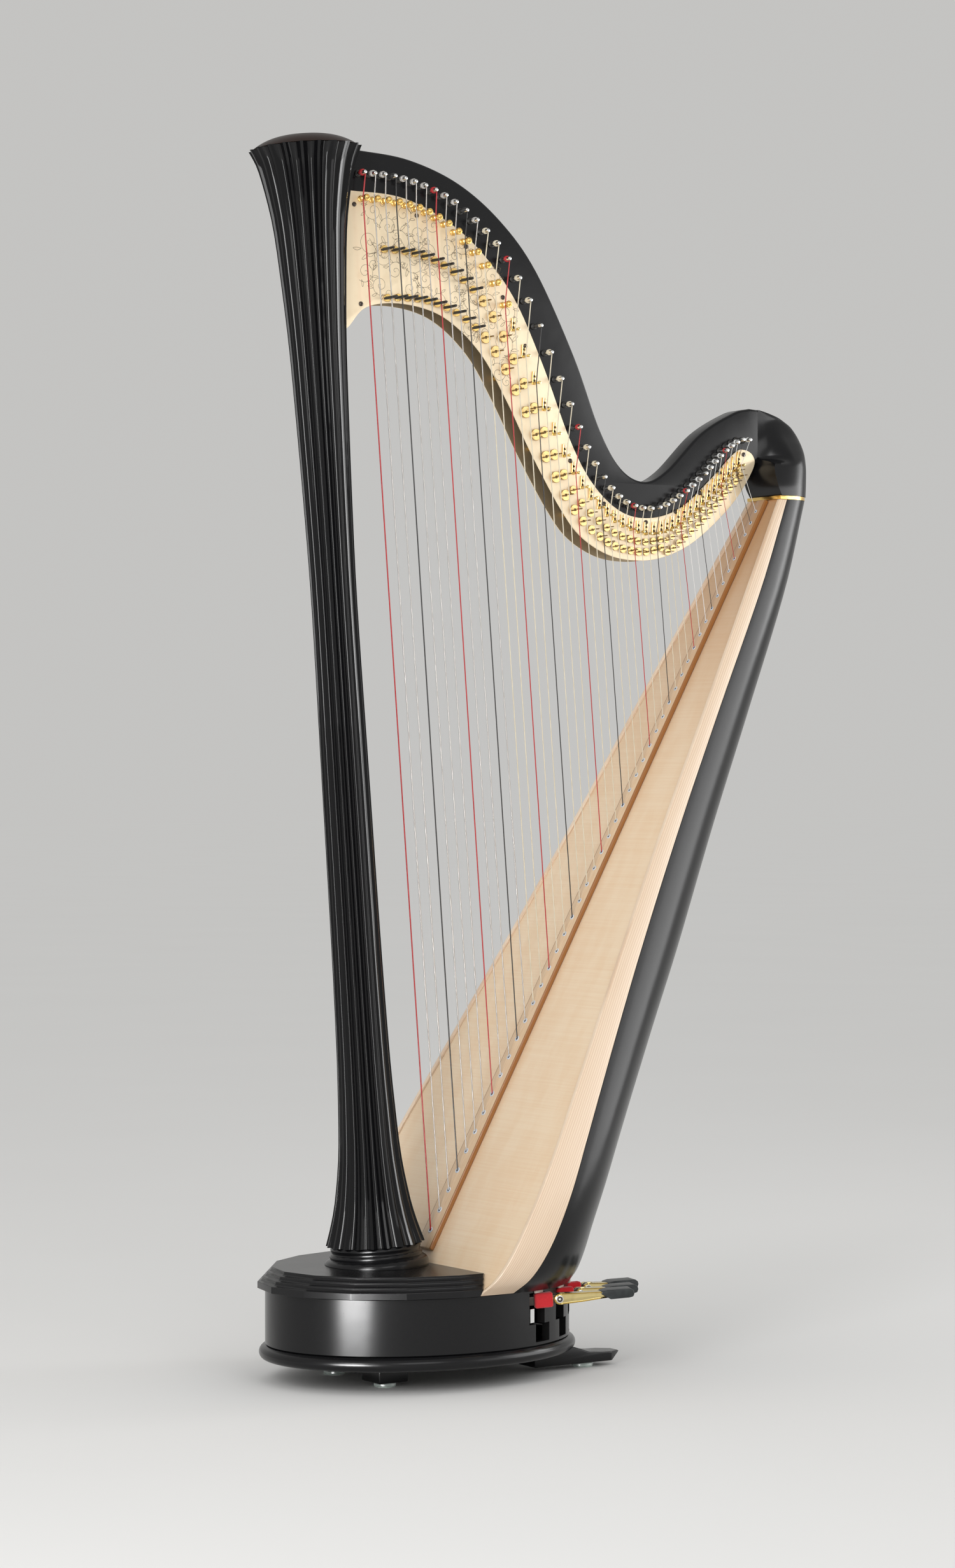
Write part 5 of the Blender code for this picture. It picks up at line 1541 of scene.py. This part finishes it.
@dataclass
class Action:
    """Strings, tuning pins, bridge pins and the turning discs."""

    plan: HarpPlan
    last_round_pin: int = 33
    pin_radius: float = 0.0031
    pin_left: float = 0.0235
    pin_right: float = 0.016
    octave: tuple[tuple[str, int], ...] = (
        ("B", 20), ("A", 21), ("G", 22), ("F", 23), ("E", 24), ("D", 25), ("C", 26))
    last_disc: int = 35
    disc_radius: float = 0.0065
    disc_thickness: float = 0.0042
    prong_tilt: float = radians(14.0)
    natural_radii: tuple[Point2, ...] = (
        (1, 0.004), (13, 0.0042), (16, 0.0056), (25, 0.0066), (26, 0.0067), (27, 0.0084), (35, 0.009))
    sharp_radii: tuple[Point2, ...] = (
        (1, 0.0054), (13, 0.0054), (16, 0.006), (25, 0.0076), (27, 0.0088), (35, 0.0092))

    def _facing(self, spot: Vector, y: float) -> Matrix:
        """A frame on the plate whose Z points out towards the strings."""
        return Matrix.Translation((spot.x, y, spot.z)) @ UPRIGHT

    def build_strings(self) -> None:
        """All strings, one piece for each finish, wound on their tuning pins."""
        for paint in Paint:
            if isinstance(paint.value, StringSkin):
                runs = [self._string_run(number) for number in STRINGS if self._skin(number) is paint]
                Bench.finish(Bench.wires(paint.value.name + "s", runs, 1), 70.0, paint, "string")

    @staticmethod
    def _skin(number: int) -> Paint:
        """The finish of a string by its number from the top."""
        if number % 7 == 5:
            return Paint.RED_STRING
        if number % 7 == 2:
            return Paint.BLACK_STRING
        if number <= 11:
            return Paint.NYLON_STRING
        return Paint.GUT_STRING if number <= 35 else Paint.WIRE_STRING

    def _string_run(self, number: int) -> tuple[list[Vector], float]:
        """One string from its eyelet over the bridge pin and round its tuning pin."""
        radius = self.plan.string_radius(number)
        hole = self.plan.string_hole(number)
        top = self.plan.string_top(number)
        pin = self.plan.tuning(number)
        run = (hole - top).normalized()
        coil = self.pin_radius + radius
        away = pin - top
        side = asin(min(coil / away.length, 1.0))
        heading = atan2(away.z, away.x)
        angle = heading + side - pi / 2
        touch = pin + coil * Vector((cos(angle), 0.0, sin(angle)))
        points = [hole + run * 0.003, top + run * 0.004, top, top + (touch - top) * 0.12, touch]
        turns = 2.6
        steps = int(10 * turns)
        for i in range(1, steps + 1):
            t = angle + 2 * pi * turns * i / steps
            shift = 2.05 * radius * turns * i / steps
            points.append(pin + Vector((coil * cos(t), shift, coil * sin(t))))
        return points, radius

    def build_tuning_pins(self) -> None:
        """Tuning pins: round and cross-bored at the strings, square at the key end."""
        left = self.plan.neck_left
        right = self.plan.neck_right
        r = self.pin_radius
        shaft = [
            (r * 0.45, -left + self.pin_left), (r * 0.8, -left + self.pin_left - 0.0004),
            (r, -left + self.pin_left - 0.0014), (r, -left - 0.002)]
        pin = Bench.lathe("pin_shaft", 14, list(reversed(shaft)))
        bore = -left + self.pin_left - 0.0032
        Bench.carve(pin, Bench.rod("pin_hole", (0, -0.01, bore), (0, 0.01, bore), 0.0009, 8))
        collar = Bench.lathe("pin_collar", 16, [(r * 1.7, -left - 0.001), (r * 1.7, -left + 0.0016),
                                                (r * 1.25, -left + 0.003), (r, -left + 0.0032)])
        key = Bench.draw_out("pin_key", 4, [
            (Vector((0, 0, -right + 0.001)), r * 0.95, r * 0.95),
            (Vector((0, 0, -right - self.pin_right + 0.0012)), r * 0.74, r * 0.74),
            (Vector((0, 0, -right - self.pin_right)), r * 0.55, r * 0.55)])
        pattern = Bench.join([pin, key], "tuning_pin")
        places = [
            self._facing(self.plan.tuning(number), 0.0) @ Matrix.Rotation(0.9 * number, 4, "Z")
            for number in STRINGS]
        Bench.finish(Bench.scatter(pattern, places, "tuning_pins"), 35.0, Paint.STEEL, "steel")
        Bench.finish(Bench.scatter(collar, places, "pin_collars"), 35.0, Paint.SLEEVE, "rubber")

    def build_bridge_pins(self) -> None:
        """Round grooved bridge pins in the bass, nuts in slotted brackets above them."""
        face = self.plan.plate_face
        r = self.plan.bridge_radius
        profile = [
            (0.005, 0.0), (0.005, 0.0022), (0.0042, 0.003), (0.004, face - 0.004), (0.0048, face - 0.003),
            (r, face - 0.0012), (r, face + 0.0012), (0.0052, face + 0.0028), (0.0054, face + 0.0048),
            (0.0048, face + 0.006), (0.003, face + 0.0062), (0.0022, face + 0.005), (0.0008, face + 0.0048)]
        knob = Bench.lathe("bridge_knob", 20, profile)
        Bench.carve(knob, Bench.block(
            "knob_slot", (-0.006, -0.0005, face + 0.005), (0.006, 0.0005, face + 0.008)))
        places = [
            self._facing(self.plan.bridge(number), face) @ Matrix.Rotation(number * 1.7, 4, "Z")
            for number in STRINGS[self.last_round_pin - 1:]]
        Bench.finish(Bench.scatter(knob, places, "round_bridge_pins"), 35.0, Paint.GOLD, "brass")
        self._build_brackets(face, r)

    def _build_brackets(self, face: float, groove: float) -> None:
        """The adjustable nuts: a slotted bracket, two screws and a grooved nut."""
        arms = [
            Bench.block("arm", (x - 0.0006, 0.001, 0.0), (x + 0.0006, 0.018, deep))
            for x, deep in ((-0.0027, 0.003), (0.0027, 0.0016))]
        foot = Bench.block("foot", (-0.0033, -0.0022, 0.0), (0.0033, 0.0018, 0.0016))
        bracket = Bench.bevel(Bench.join([*arms, foot], "bracket"), 0.0004, 1)
        nut = Bench.lathe("nut", 14, [
            (groove * 0.7, 0.0), (groove * 0.62, face - 0.0012), (groove * 0.5, face - 0.0004),
            (groove * 0.5, face + 0.001), (groove * 0.78, face + 0.002), (groove * 0.86, face + 0.0036),
            (groove * 0.7, face + 0.0048), (groove * 0.3, face + 0.0053)])
        screw = Bench.lathe(
            "bracket_screw", 12, [(0.0017, 0.0), (0.0017, 0.003), (0.0012, 0.0038), (0.0005, 0.004)])
        places = []
        nuts = []
        screws = []
        for number in range(1, self.last_round_pin):
            frame = self._facing(self.plan.bridge(number), face) @ Matrix.Rotation(radians(-3.0), 4, "Z")
            places.append(frame @ Matrix.Diagonal((1.0, 1.25 if number < 13 else 1.0, 1.0, 1.0)))
            nuts.append(frame)
            screws += [frame @ Matrix.Translation((0.0, up, 0.0)) for up in (0.0043, 0.0108)]
        for pattern, spots, name, paint, slot in (
                (bracket, places, "bridge_brackets", Paint.GOLD, "brass"),
                (nut, nuts, "bridge_nuts", Paint.BRASS, "brass"),
                (screw, screws, "bracket_screws", Paint.DARK_SCREW, "steel")):
            Bench.finish(Bench.scatter(pattern, spots, name), 35.0, paint, slot)

    def _disc_drum(self) -> Piece:
        """The body of a turning disc, waisted behind its face; it takes a darker brass as painted shade."""
        r = self.disc_radius
        t = self.disc_thickness
        return Bench.lathe("disc_drum", 22, [
            (r * 0.84, 0.0), (r * 0.9, t * 0.12), (r * 0.9, t * 0.52), (r * 0.99, t * 0.62), (r, t * 0.7),
            (r, t * 0.94), (r * 0.97, t)])

    def _disc_face(self) -> Piece:
        """The pale face of a turning disc, finished in a lighter gold as a painted highlight."""
        r = self.disc_radius
        t = self.disc_thickness
        return Bench.lathe("disc_face", 22, [(r * 0.96, t - 0.0002), (r * 0.93, t + 0.0002), (r * 0.2, t + 0.0002)])

    def _disc_fork(self) -> Piece:
        """The slotted centre screw and the two thin prongs of a turning disc."""
        t = self.disc_thickness
        screw = Bench.lathe("disc_screw", 12, [(0.0018, t - 0.0004), (0.0017, t + 0.0007), (0.001, t + 0.001)])
        slot = Bench.block("disc_slot", (-0.0003, -0.002, t + 0.0004), (0.0003, 0.002, t + 0.003))
        return Bench.join([Bench.carve(screw, slot), self._prongs("thin", 0.0045, 0.0008, 0.0165)], "disc_fork")

    def _prongs(self, name: str, pitch: float, radius: float, reach: float) -> Piece:
        """The two prongs that grip the string, with round ends."""
        prongs = []
        profile = [
            (radius, self.disc_thickness * 0.5), (radius, reach - radius), (radius * 0.8, reach - radius * 0.3),
            (radius * 0.35, reach)]
        for x in (-pitch, pitch):
            prongs.append(Bench.move(Bench.lathe("prong", 10, profile), Matrix.Translation((x, 0.0, 0.0))))
        return Bench.join(prongs, name)

    def _disc_frame(self, number: int, sharp: bool) -> Matrix:
        """Where a disc sits on the plate, tilted so that its left prong hangs lower."""
        spot = self.plan.disc_point(number, sharp)
        share = 1.0
        if number <= self.last_disc:
            share = read_curve(self.sharp_radii if sharp else self.natural_radii, number)[0] / self.disc_radius
        frame = self._facing(spot, self.plan.plate_face - GAP) @ Matrix.Rotation(self.prong_tilt, 4, "Z")
        return frame @ Matrix.Diagonal((share, share, 1.0, 1.0))

    def build_discs(self) -> None:
        """The ninety discs; those of one octave turn with their pedals."""
        moving = dict(self.octave)
        still = [
            self._disc_frame(number, sharp) for number in range(1, self.last_disc + 1) for sharp in (False, True)
            if sharp or number not in moving.values()]
        # Disc sides take the darker brass and faces the lighter gold: painted shade and painted highlight on one
        # brass.
        for name, paint, slot, make in (
                ("drum", Paint.DISC_DRUM, "brass", self._disc_drum),
                ("face", Paint.DISC_FACE, "plate", self._disc_face),
                ("fork", Paint.FORK, "steel", self._disc_fork)):
            Bench.finish(Bench.scatter(make(), still, "disc_" + name + "s"), 40.0, paint, slot)
            for letter, number in self.octave:
                one = Bench.scatter(make(), [self._disc_frame(number, False)], "turning_" + name + "_" + letter)
                node = ["natural_disc_" + letter] if name == "drum" else []
                Bench.finish(one, 40.0, paint, slot, *node, body="disc_" + letter)
        places = [self._disc_frame(n, sharp) for n in range(self.last_disc + 1, 46) for sharp in (False, True)]
        hub = Bench.lathe("hub", 20, [(0.005, 0.0), (0.0058, 0.0006), (0.006, 0.003), (0.0054, 0.0036)])
        Bench.finish(Bench.scatter(hub, places, "bass_hubs"), 40.0, Paint.GOLD, "brass")
        sleeves = Bench.scatter(self._prongs("sleeves", 0.0046, 0.0021, 0.0225), places, "prong_sleeves")
        Bench.finish(sleeves, 40.0, Paint.SLEEVE, "rubber")


# Pedals


@dataclass(frozen=True)
class PedalPlace:
    """Where one pedal stands."""

    name: str
    side: int
    angle: float
    pivot_y: float
    arm: float


@dataclass
class Pedals:
    """Seven levers with felts, folding brass arms and rubber caps."""

    plan: HarpPlan
    places: tuple[PedalPlace, ...] = (
        PedalPlace("D", -1, 63.6, -0.054, 0.106), PedalPlace("C", -1, 46.2, -0.036, 0.083),
        PedalPlace("B", -1, 30.0, -0.018, 0.075), PedalPlace("E", 1, 24.0, 0.0, 0.075),
        PedalPlace("F", 1, 37.5, 0.018, 0.075), PedalPlace("G", 1, 50.5, 0.036, 0.083),
        PedalPlace("A", 1, 63.6, 0.054, 0.106),
    )
    pivot_x: float = -0.144
    pivot_z: float = 0.1015
    end_height: float = 0.122
    lever_width: float = 0.007
    lever_height: float = 0.013
    felt: Row = (-0.01, 0.028, 0.015, 0.0225)
    fold_reach: float = 0.0095
    arm_width: float = 0.019
    cap_length: float = 0.044
    cap_width: float = 0.029
    channel: float = 0.026
    shift: float = 0.005
    slot_top: float = 0.1345
    slot_step: float = 0.0875
    slot_bottom: float = 0.0605

    def _slot_point(self, place: PedalPlace) -> Vector:
        """Where a lever passes the drum's outer face."""
        angle = place.side * radians(place.angle)
        x = self.plan.base_x + self.plan.drum_length / 2 * cos(angle)
        return Vector((x, self.plan.drum_width / 2 * sin(angle), self.end_height))

    def _pivot(self, place: PedalPlace) -> Vector:
        """Centre of a pedal's pivot."""
        return Vector((self.plan.base_x + self.pivot_x, place.pivot_y, self.pivot_z))

    def frame(self, place: PedalPlace, level: bool = False) -> Matrix:
        """A pedal's frame: origin on its pivot, X out along the lever."""
        along = self._slot_point(place) - self._pivot(place)
        if level:
            along.z = 0.0
        along.normalize()
        axis = UP.cross(along).normalized()
        matrix = Matrix((along, axis, along.cross(axis))).transposed().to_4x4()
        matrix.translation = self._pivot(place)
        return matrix

    def slot_tools(self) -> list[Piece]:
        """Blocks that cut the seven stepped slots into the drum."""
        tools = []
        for place in self.places:
            frame = self.frame(place, level=True)
            reach = (self._slot_point(place) - self._pivot(place)).to_2d().length
            half = self.channel / 2
            for low, high, shift in (
                    (self.slot_step, self.slot_top, self.shift),
                    (self.slot_bottom, self.slot_step + 0.0001, -self.shift)):
                middle = shift * place.side
                tool = Bench.block(
                    "slot_tool", (reach - 0.04, middle - half, low - self.pivot_z),
                    (reach + 0.04, middle + half, high - self.pivot_z))
                tools.append(Bench.move(tool, frame))
        return tools

    def build(self) -> None:
        """Build all seven pedals and the plates in their slots."""
        for place in self.places:
            frame = self.frame(place)
            reach = (self._slot_point(place) - self._pivot(place)).length
            fold = reach + self.felt[0] + self.felt[1] + self.fold_reach
            self._build_lever(place, frame, reach, fold)
            self._build_arm(place, frame @ Matrix.Translation((fold, 0.0, 0.0)))
        self._build_slot_trim()

    def _build_lever(self, place: PedalPlace, frame: Matrix, reach: float, fold: float) -> None:
        """A steel lever with round ends, its felt and the hinge screws."""
        half = self.lever_height / 2
        bar = Bench.block("bar", (0.0, -self.lever_width / 2, -half), (fold, self.lever_width / 2, half))
        eye = Bench.rod("eye", (0, -0.0055, 0), (0, 0.0055, 0), 0.008, 28)
        end = Bench.rod(
            "end", (fold, -self.lever_width / 2, 0), (fold, self.lever_width / 2, 0), half + 0.0015, 28)
        lever = Bench.bevel(Bench.join([bar, eye, end], "lever_" + place.name), 0.0007, 2)
        node = "pedal_lever_" + place.name
        Bench.finish(Bench.move(lever, frame), 35.0, Paint.DARK_SCREW, "steel", node, body="pedal_" + place.name)
        start, length, width, height = self.felt
        felt = Bench.block(
            "felt_" + place.name, (reach + start, -width / 2, -height / 2),
            (reach + start + length, width / 2, height / 2))
        with Bench.editing(felt):
            bpy.ops.mesh.subdivide(number_cuts=3)
        Bench.bevel(felt, 0.0034, 4)
        Bench.finish(Bench.move(felt, frame), 60.0, Paint.FELT, "rubber", body="pedal_" + place.name)

    def _build_arm(self, place: PedalPlace, frame: Matrix) -> None:
        """A folding brass arm of two tapering rails, its hinge screw and its rubber cap."""
        eye = self.lever_height / 2 + 0.0015
        length = place.arm
        start = length - self.cap_length
        outline = [
            (0.006, -eye), (start * 0.55, -0.0072), (start + 0.004, -0.005), (length, -0.0036),
            (length, 0.0036), (start + 0.004, 0.005), (start * 0.55, 0.0064)]
        for i in range(13):
            angle = radians(90 + i * 15)
            outline.append((eye * cos(angle), eye * sin(angle)))
        arm = Bench.slab("arm_" + place.name, outline, -self.arm_width / 2, self.arm_width / 2, 0.0, UPRIGHT)
        with Bench.editing(arm, "FACE"):
            Bench.select(arm, "polygons", lambda face: abs(face.normal.y) > 0.9)
            bpy.ops.mesh.dissolve_faces()
            bpy.ops.mesh.inset(thickness=0.0016)
            Bench.resize(1.0, 0.72)
        Bench.carve(arm, Bench.block("fork_tool", (-eye - 0.01, -0.0039, -0.02), (eye + 0.002, 0.0039, 0.02)))
        Bench.bevel(arm, 0.0006, 2, 40.0)
        body = "pedal_fold_" + place.name
        Bench.finish(Bench.move(arm, frame), 35.0, Paint.BRASS, "brass", "pedal_arm_" + place.name, body=body)
        half = self.arm_width / 2
        for name, reach, radius, paint in (
                ("collar", 0.0006, 0.0056, Paint.STEEL), ("head", 0.0011, 0.0042, Paint.DARK_SCREW),
                ("centre", 0.0016, 0.0017, Paint.STEEL)):
            rods = [
                Bench.rod(name, (0, sign * (half - 0.004), 0), (0, sign * (half + reach), 0), radius)
                for sign in (-1, 1)]
            ring = Bench.bevel(Bench.join(rods, "hinge_" + name + "_" + place.name), 0.0004, 2)
            Bench.finish(Bench.move(ring, frame), 35.0, paint, "steel", body=body)
        self._build_cap(place, frame, start, length)

    def _build_cap(self, place: PedalPlace, frame: Matrix, start: float, length: float) -> None:
        """The rubber cap, slanted at its root and round at its tip."""
        outline = [
            (start + 0.014, -0.0068), (length - 0.002, -0.0068), (length + 0.004, -0.0056),
            (length + 0.006, -0.001), (length + 0.005, 0.0034), (length + 0.001, 0.0064),
            (start + 0.01, 0.0074), (start + 0.001, 0.0056), (start, 0.002)]
        cap = Bench.slab("cap_" + place.name, outline, -self.cap_width / 2, self.cap_width / 2, 0.0, UPRIGHT)
        Bench.bevel(cap, 0.0024, 4, 25.0)
        Bench.carve(cap, Bench.block(
            "pocket_tool", (start - 0.02, -self.arm_width / 2 - GAP, -0.0053),
            (length + GAP, self.arm_width / 2 + GAP, 0.0053)))
        node = "pedal_cap_" + place.name
        Bench.finish(Bench.move(cap, frame), 50.0, Paint.RUBBER, "rubber", node, body="pedal_fold_" + place.name)

    def _build_slot_trim(self) -> None:
        """A pale stop pad over each slot, and the bright plates beside the two outermost slots."""
        pads = []
        plates = []
        for place in self.places:
            spot = self._slot_point(place)
            x = (spot.x - self.plan.base_x) / self.plan.drum_length ** 2
            y = spot.y / self.plan.drum_width ** 2
            face = Matrix.Translation((spot.x, spot.y, 0.0)) @ Matrix.Rotation(atan2(y, x), 4, "Z")
            for rows, name, low, high in (
                    (pads, "pad", (-0.001, -0.016, 0.1338), (0.0022, 0.004, 0.1384)),
                    (plates, "plate", (-0.0016, -0.0252, 0.0905), (-0.0002, -0.0155, 0.111))):
                if name == "plate" and place.name not in "DA":
                    continue
                block = Bench.block(name, low, high)
                block.matrix_world = Matrix.Diagonal((1.0, -place.side, 1.0, 1.0)) @ block.matrix_world
                rows.append(Bench.move(Bench.close(Bench.settle(block)), face))
        pad = Bench.bevel(Bench.join(pads, "stop_pads"), 0.0008, 2)
        Bench.finish(pad, 35.0, Paint.PAD, "rubber")
        plate = Bench.bevel(Bench.join(plates, "slot_plates"), 0.0003, 1)
        Bench.finish(plate, 35.0, Paint.STEEL, "steel")


# Studio


@dataclass
class Studio:
    """Pale floor, soft lamps, sky and the camera at the photograph's angle."""

    image_height: float = 2464.0
    focal_pixels: float = 6078.15
    turn: float = 0.579258622
    dip: float = -0.00201202
    distance: float = 5.8697
    eye_height: float = 0.89845
    aim_x: float = -0.1301
    sensor: float = 36.0
    floor_size: float = 120.0
    sky: float = 0.7
    seen_sky: Colour = (0.553, 0.549, 0.537)
    lamps: tuple[tuple, ...] = (
        ("key_softbox", (-3.6, -2.3, 2.1), (0.0, 0.0, 0.9), (1.3, 2.6), 62.0),
        ("fill_softbox", (-0.9, -5.0, 2.6), (0.0, 0.0, 0.9), (2.4, 2.0), 36.0),
        ("strip_softbox", (3.2, -0.6, 1.9), (0.1, 0.0, 0.9), (0.7, 1.6), 16.0),
        ("tall_sheen", (-3.3, -2.35, 1.3), (-0.2, 0.0, 1.2), (0.5, 2.6), 44.0, True),
        ("low_sheen", (-1.0, -0.54, 0.1), (-0.4, -0.12, 0.1), (0.34, 0.3), 15.0, True),
        ("side_sheen", (3.0, -1.6, 1.1), (0.3, 0.0, 1.0), (2.2, 2.2), 58.0, True),
        ("plate_sheen", (2.6, -4.0, 1.2), (0.1, 0.0, 1.3), (1.8, 2.0), 14.0, True),
    )

    def place_camera(self) -> None:
        """Put the camera where the photograph was taken from."""
        look = Vector((sin(self.turn) * cos(self.dip), cos(self.turn) * cos(self.dip), sin(self.dip)))
        x = self.aim_x - self.distance * sin(self.turn)
        camera = Bench.add(
            "Camera", bpy.ops.object.camera_add, rotation=look.to_track_quat("-Z", "Y").to_euler(),
            location=(x, -self.distance * cos(self.turn), self.eye_height))
        camera.data.sensor_fit = "VERTICAL"
        camera.data.sensor_height = self.sensor
        camera.data.lens = self.focal_pixels / self.image_height * self.sensor
        camera.data.clip_end = 200.0
        bpy.context.scene.camera = camera

    def lay_floor(self) -> None:
        """A wide pale floor."""
        floor = Bench.add("studio_floor", bpy.ops.mesh.primitive_plane_add, size=self.floor_size)
        sheet = ShaderSheet(bpy.data.materials.new("pale_studio_floor"))
        cloud = sheet.noise(sheet.place(), 1.3, 2.0)
        floor.data.materials.append(sheet.surface(
            Base_Color=sheet.mix(cloud, (0.78, 0.775, 0.765), (0.8, 0.795, 0.785)), Roughness=0.85,
            Specular_IOR_Level=0.0))

    def light_sky(self) -> None:
        """Even pale surroundings, seen at the same tone as the far floor."""
        world = bpy.data.worlds.new("studio_sky")
        bpy.context.scene.world = world
        sheet = ShaderSheet(world)
        sheet.tree.nodes.clear()
        seen = sheet.node("ShaderNodeLightPath", "Is Camera Ray")
        for kind in ("Is Glossy Ray", "Is Transmission Ray"):
            seen = sheet.math("MAXIMUM", seen, sheet.node("ShaderNodeLightPath", kind))
        light = sheet.node("ShaderNodeBackground", 0, {"Color": (self.sky, self.sky, self.sky * 0.99, 1.0)})
        backdrop = sheet.node("ShaderNodeBackground", 0, {"Color": (*self.seen_sky, 1.0)})
        mix = sheet.node("ShaderNodeMixShader", 0, {0: seen, 1: light, 2: backdrop})
        sheet.feed(sheet.tree.nodes.new("ShaderNodeOutputWorld").inputs[0], mix)

    def hang_lamp(
            self, name: str, place: Row, aim: Row, size: Point2, power: float, sheen: bool = False) -> None:
        """One rectangular softbox; one for sheen only shows in reflections."""
        turn = (Vector(aim) - Vector(place)).to_track_quat("-Z", "Y").to_euler()
        lamp = Bench.add(name, bpy.ops.object.light_add, type="AREA", location=place, rotation=turn)
        lamp.data.shape = "RECTANGLE"
        lamp.data.size, lamp.data.size_y = size
        lamp.data.energy = power
        if sheen:
            lamp.visible_camera = False
            lamp.visible_diffuse = False

    def build(self) -> None:
        """Build the whole studio, in plain colour."""
        self.place_camera()
        self.lay_floor()
        self.light_sky()
        for lamp in self.lamps:
            self.hang_lamp(*lamp)
        bpy.context.scene.view_settings.view_transform = "Standard"


def polish_hidden_metal(frame: dict) -> None:
    """Give the CAD nodes that stay, apart from the soundboard, their steel."""
    for name, node in frame["nodes"].items():
        if name == "pedal_pivot_rail" or name.startswith("pedal_rod_"):
            Bench.coat(node, Paint.STEEL)


def main() -> None:
    """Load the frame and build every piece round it."""
    logging.basicConfig(level=logging.INFO, format="%(name)s: %(message)s")
    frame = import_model()
    plan = HarpPlan()
    Studio().build()
    pedals = Pedals(plan)
    base = Base(plan)
    base.build_drum(pedals.slot_tools())
    base.build_board()
    base.build_plinth()
    base.build_feet()
    column = Column(plan)
    column.build_shaft()
    column.build_foot()
    column.build_dome()
    box = SoundBox(plan)
    box.dress_board(frame["nodes"]["soundboard"])
    box.build_sides()
    box.build_shell()
    box.build_strip()
    box.build_band()
    box.build_shoulder()
    neck = Neck(plan)
    neck.build_beam()
    neck.build_plates()
    neck.build_scrolls()
    action = Action(plan)
    action.build_strings()
    action.build_tuning_pins()
    action.build_bridge_pins()
    action.build_discs()
    pedals.build()
    polish_hidden_metal(frame)


if __name__ == "__main__":
    main()
